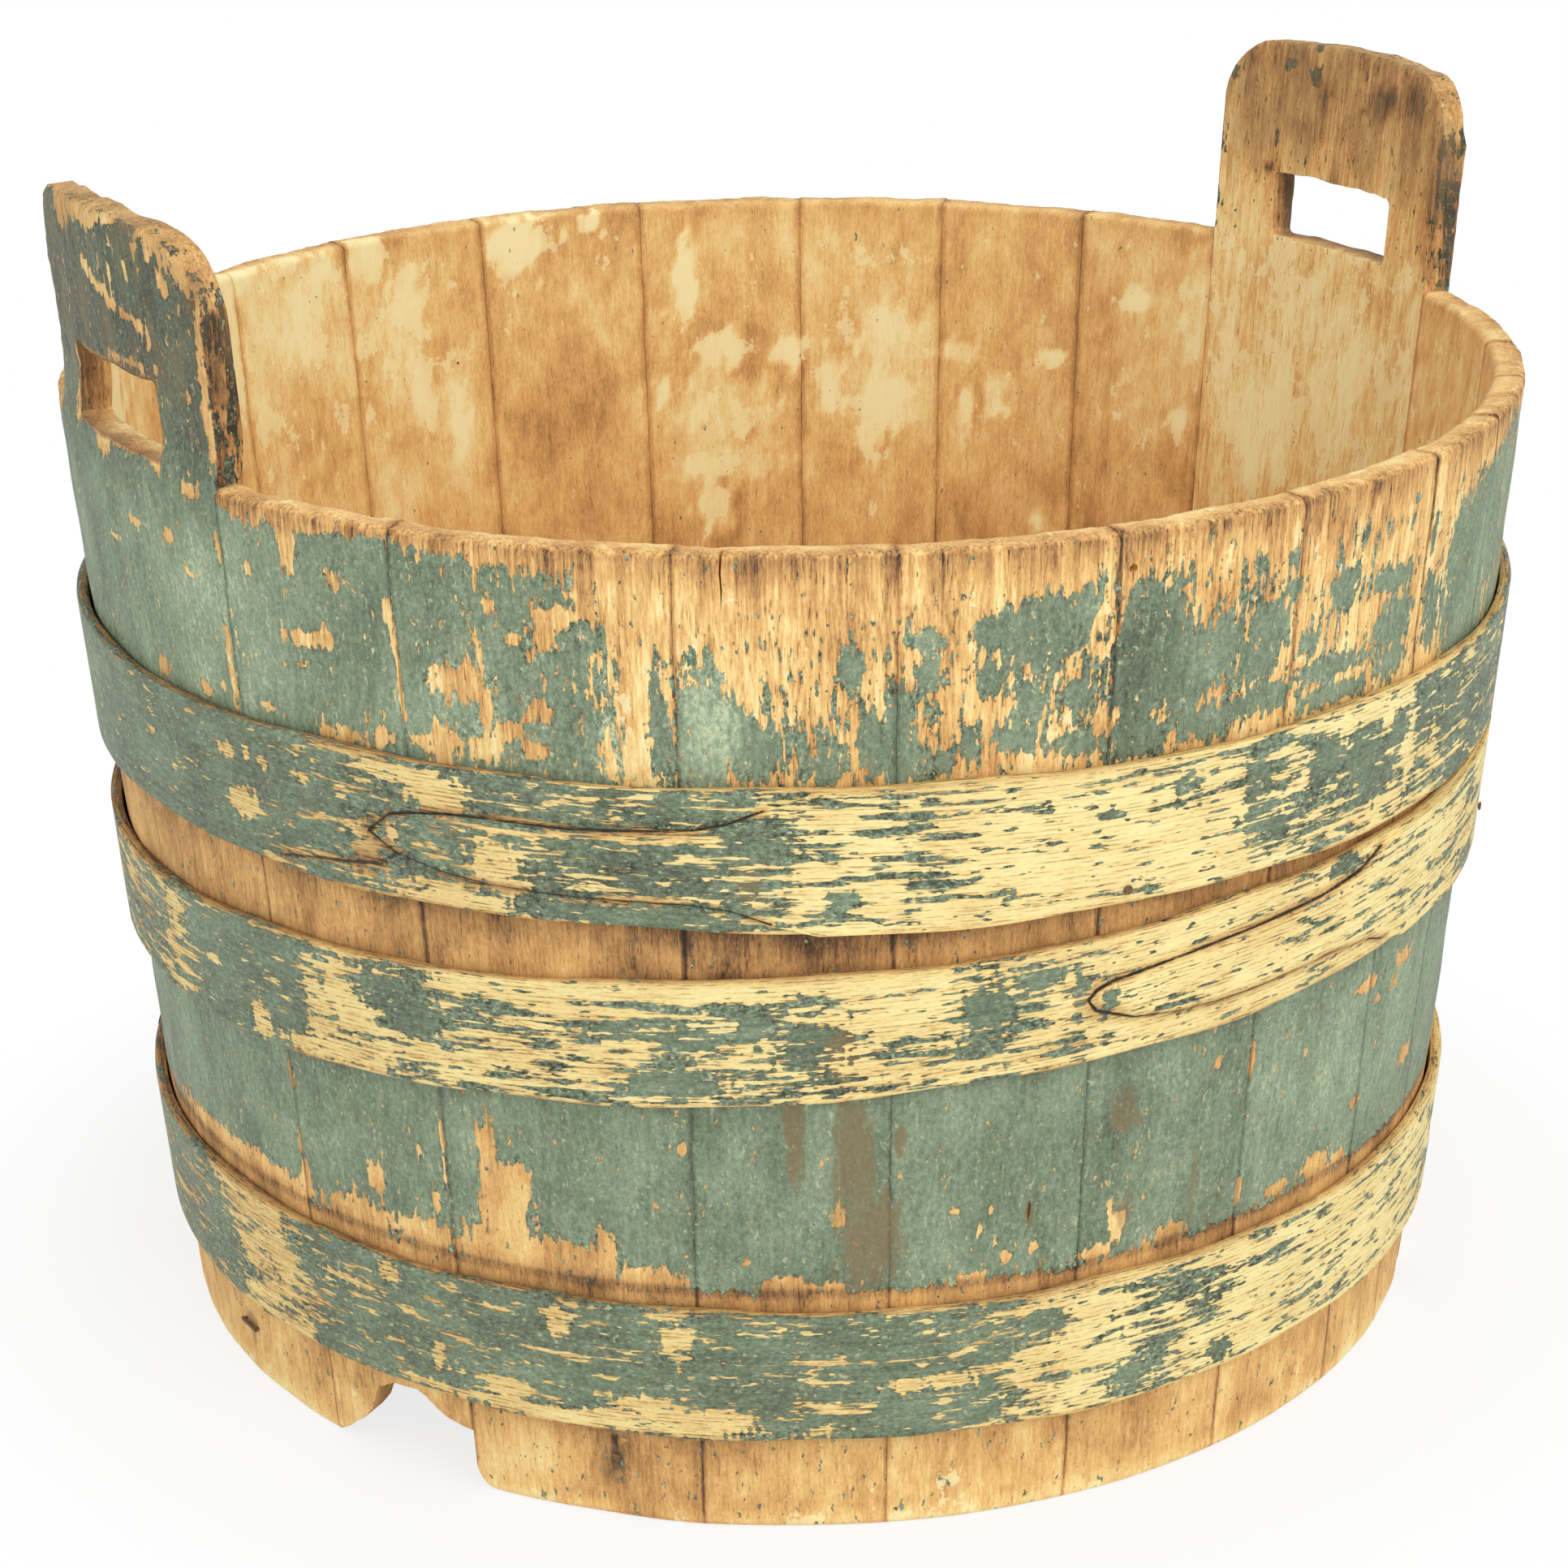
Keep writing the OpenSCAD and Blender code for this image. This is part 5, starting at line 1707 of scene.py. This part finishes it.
@dataclass(frozen=True)
class HoopWear:
    """Where a hoop has kept its paint and how its wood has aged."""

    hoop: Hoop
    marks: StripMarks

    def lay_on(self, piece: bpy.types.Object) -> None:
        """Stores the wear on a hoop."""
        spots = Spots.of(piece, self.hoop.face)
        spots.z -= (self.hoop.level(spots.angle) - self.hoop.z) / MM
        outside = ease(spots.depth, 3.2, 1.8)
        up = spots.z - self.hoop.z / MM
        half = self.hoop.width / MM / 2
        edge = ease(np.abs(up), half - 2.2, half - 0.4)
        cover = 0.5 + 1.5 * (spots.by_angle(self.marks.cover) - 0.5)
        cover = spots.marked(cover, self.marks.lost, GONE)
        cover = spots.marked(cover, self.marks.kept, 1.1)
        age = spots.by_angle(self.marks.age)
        count = len(spots.z)
        store(piece, "stave", np.full(count, self.hoop.seed))
        store(piece, "cover", GONE + outside * (cover - GONE - 0.35 * edge))
        store(piece, "age", age + 0.16 * edge + 0.15 * (1.0 - outside))
        store(piece, "shade", np.full(count, 0.46))
        store(piece, "stain", spots.marked(np.zeros(count), self.marks.stains))
        # The distance to the tongue's seam, raised on the tongue's own proud faces, for the painted shadow
        # line and the painted shade with dirt beside the tongue.
        proud = ease(spots.depth, -0.2, -0.9) * ease(up, -3.0, 3.0)
        store(piece, "seam", self.hoop.seam(spots.angle, up) + 0.9 * proud)


UPPER_MARKS = StripMarks(
    cover=((-190, 0.97), (-166, 0.97), (-163, 0.8), (-156, 0.8), (-153, 0.6), (-150, 0.72), (-126, 0.72),
           (-122, 0.36), (-111, 0.33), (-108, 0.24), (-89, 0.22), (-86, 0.48), (-65, 0.5), (-60, 0.7),
           (0, 0.6), (60, 0.4), (120, 0.7), (160, 0.9)),
    lost=((-152.8, 268, 5, 7), (-166, 290, 5, 3), (-163.7, 291, 2, 2), (-164.7, 271, 8, 5),
          (-177, 283, 4, 1.5), (-162, 289, 3, 1.5), (-158, 288, 3, 2), (-149, 299, 14, 3),
          (-147, 296, 12, 4), (-146, 292, 10, 4), (-142, 271, 8, 7), (-150, 277, 2, 3), (-146, 255, 24, 5),
          (-78.5, 295, 3, 4), (-69.5, 275, 3, 10), (-73, 294, 4, 4)),
    kept=((-131, 256, 20, 4), (-124, 285, 12, 8, 0.8), (-123, 272, 8, 6, 0.7), (-112.5, 292, 5, 3, 0.6),
          (-118.5, 263, 3, 3, 0.6), (-112, 267, 6, 5, 0.6), (-118, 264, 5, 3), (-104, 289, 5, 3, 0.5),
          (-93, 293, 6, 6, 0.75), (-99, 286, 4, 3), (-86.8, 283, 5, 13), (-86.5, 272, 6, 5),
          (-84.5, 268, 4, 4), (-80, 288, 8, 8), (-76, 285, 8, 10), (-74, 272, 9, 9), (-71.5, 286, 5, 8),
          (-67, 287, 7, 9), (-63, 285, 6, 12)),
    stains=((-124.2, 269, 5, 7), (-120.5, 267, 2.5, 3), (-96.3, 289, 3, 3.5)),
    age=((-200, 0.5), (-150, 0.5), (-140, 0.42), (-120, 0.32), (-60, 0.36), (0, 0.4), (100, 0.4),
         (155, 0.5)))
MIDDLE_MARKS = StripMarks(
    cover=((-190, 0.6), (-176, 0.62), (-174, 0.9), (-162, 0.9), (-160, 0.5), (-151, 0.5), (-149, 0.4),
           (-136, 0.4), (-134, 0.52), (-121, 0.5), (-119, 0.3), (-111, 0.3), (-109, 0.4), (-101, 0.38),
           (-98, 0.24), (-60, 0.34), (-40, 0.4), (20, 0.6), (100, 0.5), (160, 0.6)),
    lost=((-178, 224, 6, 3), (-178, 215, 6, 3), (-172, 210, 4, 2), (-180, 206, 4, 2), (-166.5, 193, 5, 7),
          (-158, 190, 25, 4), (-159.3, 205, 4, 10), (-157, 220, 5, 8), (-156, 210, 6, 12),
          (-140, 230, 30, 3.5), (-128, 230, 30, 3.5), (-116, 230, 30, 3.5)),
    kept=((-153, 222, 9, 8), (-150, 212, 10, 7), (-133, 214, 14, 3), (-129, 210, 10, 5), (-130, 193, 14, 5),
          (-124, 214, 6, 5), (-120, 205, 10, 10), (-113, 199, 10, 8, 0.6), (-107.5, 214, 7, 9),
          (-104, 222, 10, 4), (-100.5, 212, 3, 8), (-108, 195, 8, 8, 0.7), (-101, 190, 8, 5, 0.7),
          (-98.5, 208, 3, 7), (-76.5, 228, 9, 6)),
    stains=((-117.9, 202, 6, 11),),
    age=((-200, 0.5), (-165, 0.46), (-150, 0.38), (-60, 0.34), (0, 0.4), (160, 0.5)))
LOWER_MARKS = StripMarks(
    cover=((-190, 0.7), (-176, 0.7), (-174, 0.42), (-166, 0.42), (-164, 0.8), (-106, 0.8), (-103, 0.42),
           (-86, 0.4), (-84, 0.3), (-60, 0.36), (-40, 0.4), (20, 0.6), (100, 0.5), (160, 0.7)),
    lost=((-176, 95, 12, 5), (-169, 88, 5, 14), (-168, 72, 4, 12), (-173, 68, 6, 6), (-170.5, 62, 4, 8),
          (-172, 52, 10, 4), (-155, 90, 5, 4), (-160, 80, 12, 1.5), (-151, 60, 3, 5), (-140, 88, 5, 5),
          (-130.5, 83, 6, 9), (-131, 95, 8, 2), (-145, 54, 10, 4), (-134, 53, 14, 5), (-128, 50, 12, 4),
          (-111, 65, 14, 3), (-98, 75, 16, 16, 0.0), (-138, 46, 60, 3)),
    kept=((-102, 84, 8, 6), (-90, 75, 20, 14, 0.45), (-94, 52, 8, 5), (-85, 51, 6, 4),
          (-110, 92, 20, 6, 0.8)),
    stains=((-121, 60, 4, 3, 0.7), (-121, 80, 3, 6, 0.5)),
    age=((-200, 0.52), (-150, 0.5), (-110, 0.42), (-90, 0.32), (-60, 0.32), (0, 0.4), (160, 0.5)))


UPPER_LAP = Lap(
    tip=-152.2,
    top=((0.0, -2.4), (1.9, 5.3), (3.3, 7.2), (6.5, 9.4), (9.7, 10.1), (15.6, 9.7), (21.2, 11.0),
         (24.2, 12.0), (26.5, 14.5), (29.0, 19.5)),
    bottom=((0.0, -2.6), (2.2, -9.0), (6.2, -13.3), (9.3, -14.8), (15.3, -15.6), (23.9, -16.1),
            (26.6, -17.8), (29.4, -22.8)),
    slit=((2.2, -9.0), (0.7, -14.5), (-1.5, -16.5), (-4.6, -18.4), (-8.7, -21.9)))
MIDDLE_LAP = Lap(
    tip=-99.9,
    top=((0.0, 1.2), (0.6, 4.2), (1.7, 6.4), (5.7, 8.6), (10.2, 10.4), (17.0, 12.0), (20.9, 12.7),
         (25.3, 15.4), (27.9, 20.9)),
    bottom=((0.0, 0.8), (0.6, -3.7), (3.7, -9.8), (7.6, -12.5), (11.6, -13.4), (16.4, -13.5), (22.1, -13.0),
            (27.4, -16.1), (29.6, -20.0)))
LOWER_LAP = Lap(tip=96.0, top=UPPER_LAP.top, bottom=UPPER_LAP.bottom, slit=UPPER_LAP.slit)


# Bottom and iron


@dataclass
class Bottom:
    """The five boards of the bottom."""

    material: bpy.types.Material
    radius: float = 0.25547
    low: float = 0.036
    thickness: float = 0.014
    bevel_w: float = 0.0125
    bevel_h: float = 0.004
    widths: tuple[int, ...] = (86, 108, 118, 104, 96)
    gap: float = 0.0003
    step: float = 0.010

    def build(self) -> list[tuple[bpy.types.Object, str]]:
        """Makes the boards from one disc.

        Returns:
            Each board with the name of its node.
        """
        bpy.ops.object.select_all(action="DESELECT")
        bpy.ops.mesh.primitive_cylinder_add(
            vertices=240, radius=self.radius, depth=self.thickness,
            location=(0.0, 0.0, self.low + self.thickness / 2))
        disc = bpy.context.active_object
        place_in_mesh(disc)
        with editing(disc):
            cut((0.0, 0.0, self.low + self.bevel_h), (0.0, 0.0, 1.0))
            pick(disc, Part.POINTS, lambda p: p.z < self.low + MM)
            shrink = 1.0 - self.bevel_w / self.radius
            bpy.ops.transform.resize(value=(shrink, shrink, 1.0), center_override=(0.0, 0.0, self.low))
        shares = np.concatenate([[0.0], np.cumsum(self.widths)]) / sum(self.widths)
        places = -self.radius + 2 * self.radius * shares
        made = []
        for number in range(1, len(self.widths) + 1):
            low, high = float(places[number - 1]) + self.gap / 2, float(places[number]) - self.gap / 2
            board = copy_of(disc)
            with editing(board):
                if number > 1:
                    cut((0.0, low, 0.0), (0.0, -1.0, 0.0), trim=True)
                if number < len(self.widths):
                    cut((0.0, high, 0.0), (0.0, 1.0, 0.0), trim=True)
            modify(board, "BEVEL", width=0.0008, segments=2, limit_method="ANGLE",
                   angle_limit=math.radians(50.0))
            with editing(board):
                for x in np.arange(-self.radius + self.step, self.radius, self.step):
                    cut((float(x), 0.0, 0.0), (1.0, 0.0, 0.0))
                for y in np.arange(low + self.step, high - self.step / 2, self.step):
                    cut((0.0, float(y), 0.0), (0.0, 1.0, 0.0))
            roughen(board, 0.05, 0.0009)
            spots = Spots.of(board, lambda z: z * 0.0 + self.radius)
            # The boards darken towards their rim, where they meet the wall.
            store(board, "rim_darkening", 0.15 + 0.85 * ease(spots.depth, 16.0, 4.0))
            board = finish_mesh(board, f"bottom_plank_{number}", self.material)
            made.append((board, f"bottom_board_{number}"))
        bpy.data.objects.remove(disc)
        return made


@dataclass
class Nails:
    """The three nails, each with a flat hammered head."""

    material: bpy.types.Material
    d: float = 0.0022
    head_d: float = 0.0034
    head_t: float = 0.001
    length: float = 0.013
    fit: float = 0.00015

    def nail(self, name: str, angle: float, r: float, z: float) -> bpy.types.Object:
        """Makes one nail, square to the wall.

        Args:
            name: Its name.
            angle: Its direction, in degrees.
            r: Radius of the face that it is driven into.
            z: Its height.

        Returns:
            The nail.
        """
        bpy.ops.object.select_all(action="DESELECT")
        bpy.ops.mesh.primitive_cylinder_add(vertices=20, radius=self.d / 2, depth=self.length,
                                            location=(0.0, 0.0, -self.length / 2 + self.fit))
        piece = bpy.context.active_object
        place_in_mesh(piece)
        with editing(piece):
            pick(piece, Part.FACES, lambda p: p.z > 0.0)
            bpy.ops.mesh.extrude_region_move(TRANSFORM_OT_translate={"value": (0.0, 0.0, 1e-5)})
            grow = self.head_d / self.d
            bpy.ops.transform.resize(value=(grow, grow, 1.0), center_override=(0.0, 0.0, 0.0))
            bpy.ops.mesh.extrude_region_move(TRANSFORM_OT_translate={"value": (0.0, 0.0, self.head_t * 0.6)})
            bpy.ops.mesh.inset(thickness=self.head_d * 0.12)
            bpy.ops.transform.translate(value=(0.0, 0.0, self.head_t * 0.3))
            bpy.ops.mesh.inset(thickness=self.head_d * 0.16)
            bpy.ops.transform.translate(value=(0.0001, 0.0, self.head_t * 0.08))
        lean = math.atan(WALL.slope)
        piece.matrix_world = (Matrix.Rotation(math.radians(angle), 4, "Z") @ Matrix.Translation((r, 0.0, z))
                              @ Matrix.Rotation(math.pi / 2 + lean, 4, "Y"))
        place_in_mesh(piece)
        return finish_mesh(piece, name, self.material, 50.0)

    def build(self, upper: Hoop, middle: Hoop) -> list[tuple[bpy.types.Object, str]]:
        """Makes the nails.

        Args:
            upper: The upper hoop.
            middle: The middle hoop.

        Returns:
            Each nail with the name of its node.
        """
        lift = max(0.0, float(upper.lift(np.array(-97.4))))
        return [
            (self.nail("nail_foot", -136.2, float(WALL.outer(0.0275)), 0.0275), "foot_nail"),
            (self.nail("nail_upper_hoop", -97.4, float(upper.face(0.2565)) + lift, 0.2565),
             "hoop_upper_nail"),
            (self.nail("nail_middle_hoop", -44.6, float(middle.face(0.210)), 0.210), "hoop_middle_nail"),
        ]


# Studio


@dataclass(frozen=True)
class Studio:
    """Pale floor, soft light and the camera."""

    turn: float = -31.05
    distance: float = 1.3964
    height: float = 0.7295
    pan: float = -0.0034
    pitch: float = 0.3643
    roll: float = -0.0109
    focal: float = 4382.8
    picture: float = 1932.0
    sensor: float = 36.0

    def camera(self) -> None:
        """Makes the camera from its place, its pan, pitch and roll, and its focal length in pixels."""
        data = bpy.data.cameras.new("camera")
        camera = bpy.data.objects.new("camera", data)
        bpy.context.scene.collection.objects.link(camera)
        data.sensor_width = self.sensor
        data.lens = self.focal / self.picture * self.sensor
        data.clip_start, data.clip_end = 0.05, 50.0
        ahead = Vector((math.sin(self.pan) * math.cos(self.pitch), math.cos(self.pan) * math.cos(self.pitch),
                        -math.sin(self.pitch)))
        right = ahead.cross(Vector((0.0, 0.0, 1.0))).normalized()
        up = right.cross(ahead)
        side = right * math.cos(self.roll) + up * math.sin(self.roll)
        top = up * math.cos(self.roll) - right * math.sin(self.roll)
        frame = Matrix((side, top, -ahead)).transposed().to_4x4()
        around = Matrix.Rotation(math.radians(self.turn), 4, "Z")
        camera.matrix_world = around @ Matrix.Translation((0.0, -self.distance, self.height)) @ frame
        bpy.context.scene.camera = camera

    def floor(self) -> None:
        """Lays a pale floor that shows the tub's soft shadow."""
        bpy.ops.object.select_all(action="DESELECT")
        bpy.ops.mesh.primitive_plane_add(size=30.0, location=(0.0, 0.0, 0.0))
        floor = bpy.context.active_object
        floor.name = "floor"
        material = bpy.data.materials.new("pale floor")
        material.use_nodes = True
        material.node_tree.nodes.clear()
        graph = Graph(material.node_tree)
        matt = graph.node("BsdfDiffuse")
        matt.inputs["Color"].default_value = (0.86, 0.86, 0.85, 1.0)
        glow = graph.node("Emission")
        glow.inputs["Color"].default_value = (1.0, 1.0, 1.0, 1.0)
        glow.inputs["Strength"].default_value = 1.0
        seen = graph.shown()
        away = graph.node("VectorMath", operation="LENGTH")
        graph.feed(away.inputs[0], graph.node("TexCoord").outputs["Object"])
        share = graph.band(away.outputs["Value"], 0.27, 0.42, 0.8, 1.0)
        blend = graph.node("MixShader")
        graph.feed(blend.inputs[0], graph.times(seen, share))
        graph.feed(blend.inputs[1], matt.outputs[0])
        graph.feed(blend.inputs[2], glow.outputs[0])
        out = graph.node("OutputMaterial")
        graph.feed(out.inputs[0], blend.outputs[0])
        floor.data.materials.append(material)

    def world(self) -> None:
        """Surrounds the tub with soft light and shows white behind it."""
        world = bpy.data.worlds.new("studio")
        bpy.context.scene.world = world
        world.use_nodes = True
        world.node_tree.nodes.clear()
        graph = Graph(world.node_tree)
        light = graph.node("Background")
        light.inputs["Color"].default_value = (1.0, 0.99, 0.97, 1.0)
        light.inputs["Strength"].default_value = 0.62
        white = graph.node("Background")
        white.inputs["Color"].default_value = (1.0, 1.0, 1.0, 1.0)
        white.inputs["Strength"].default_value = 1.0
        blend = graph.node("MixShader")
        graph.feed(blend.inputs[0], graph.shown())
        graph.feed(blend.inputs[1], light.outputs[0])
        graph.feed(blend.inputs[2], white.outputs[0])
        out = graph.node("OutputWorld")
        graph.feed(out.inputs[0], blend.outputs[0])

    def lamp(self, name: str, place: Sequence[float], size: float, power: float,
             colour: Sequence[float] = (1.0, 1.0, 1.0)) -> None:
        """Hangs a soft square lamp that points at the tub.

        Args:
            name: Its name.
            place: Where it hangs, in the camera's directions: right, away and up.
            size: Its side.
            power: Its power in watts.
            colour: Its colour.
        """
        data = bpy.data.lights.new(name, "AREA")
        data.size = size
        data.energy = power
        data.color = colour
        lamp = bpy.data.objects.new(name, data)
        bpy.context.scene.collection.objects.link(lamp)
        spot = Matrix.Rotation(math.radians(self.turn), 3, "Z") @ Vector(place)
        aim = Vector((0.0, 0.0, 0.2)) - spot
        lamp.matrix_world = Matrix.Translation(spot) @ aim.to_track_quat("-Z", "Y").to_matrix().to_4x4()

    def build(self) -> None:
        """Sets the camera, the floor and the light."""
        scene = bpy.context.scene
        scene.view_settings.view_transform = "Standard"
        self.camera()
        self.floor()
        self.world()
        self.lamp("key", (1.3, -2.2, 2.6), 2.4, 62.0, (1.0, 0.98, 0.94))
        self.lamp("fill", (-2.4, -1.4, 1.4), 2.4, 16.0)


def ride_all(made: Sequence[tuple[bpy.types.Object, str]]) -> None:
    """Puts pieces on the tub's body in place of their nodes.

    Args:
        made: Each piece with the name of the node that it stands for.
    """
    for piece, node in made:
        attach(piece, BODY)
        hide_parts(node)
        log.info("%s stands for %s: %d faces", piece.name, node, len(piece.data.polygons))


def main() -> None:
    """Dresses the tub and sets the studio."""
    logging.basicConfig(level=logging.INFO, format="%(name)s: %(message)s")
    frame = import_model()
    Studio().build()
    effects = Effects()
    stave_wood = PaintedStave("painted stave wood", effects).build()
    strip_wood = HoopStrip("hoop strip wood", effects).build()
    board_wood = BareWood("bottom wood", effects, (0.0, math.pi / 2, 0.0), 0.5).build()
    dowel_wood = BareWood("dowel wood", effects, (math.pi / 2, 0.0, 0.0), 0.35).build()
    iron = RustedIron("rusted iron", effects).build()

    staves = Staves(stave_wood)
    ride_all(staves.build())
    ride_all(Handles(staves).build())
    upper = Hoop("upper", 0.2775, 0.054, UPPER_LAP, strip_wood, 0.11)
    middle = Hoop("middle", 0.2085, 0.049, MIDDLE_LAP, strip_wood, 0.47, tilt=3.4)
    lower = Hoop("lower", 0.0695, 0.055, LOWER_LAP, strip_wood, 0.83)
    ride_all([upper.build(UPPER_MARKS), middle.build(MIDDLE_MARKS), lower.build(LOWER_MARKS)])
    ride_all(Bottom(board_wood).build())
    ride_all(Nails(iron).build(upper, middle))
    for node, material in (("bottom_dowels", dowel_wood), ("foot_staple", iron)):
        held = frame["nodes"][node]
        held.data.materials.clear()
        held.data.materials.append(material)


if __name__ == "__main__":
    main()
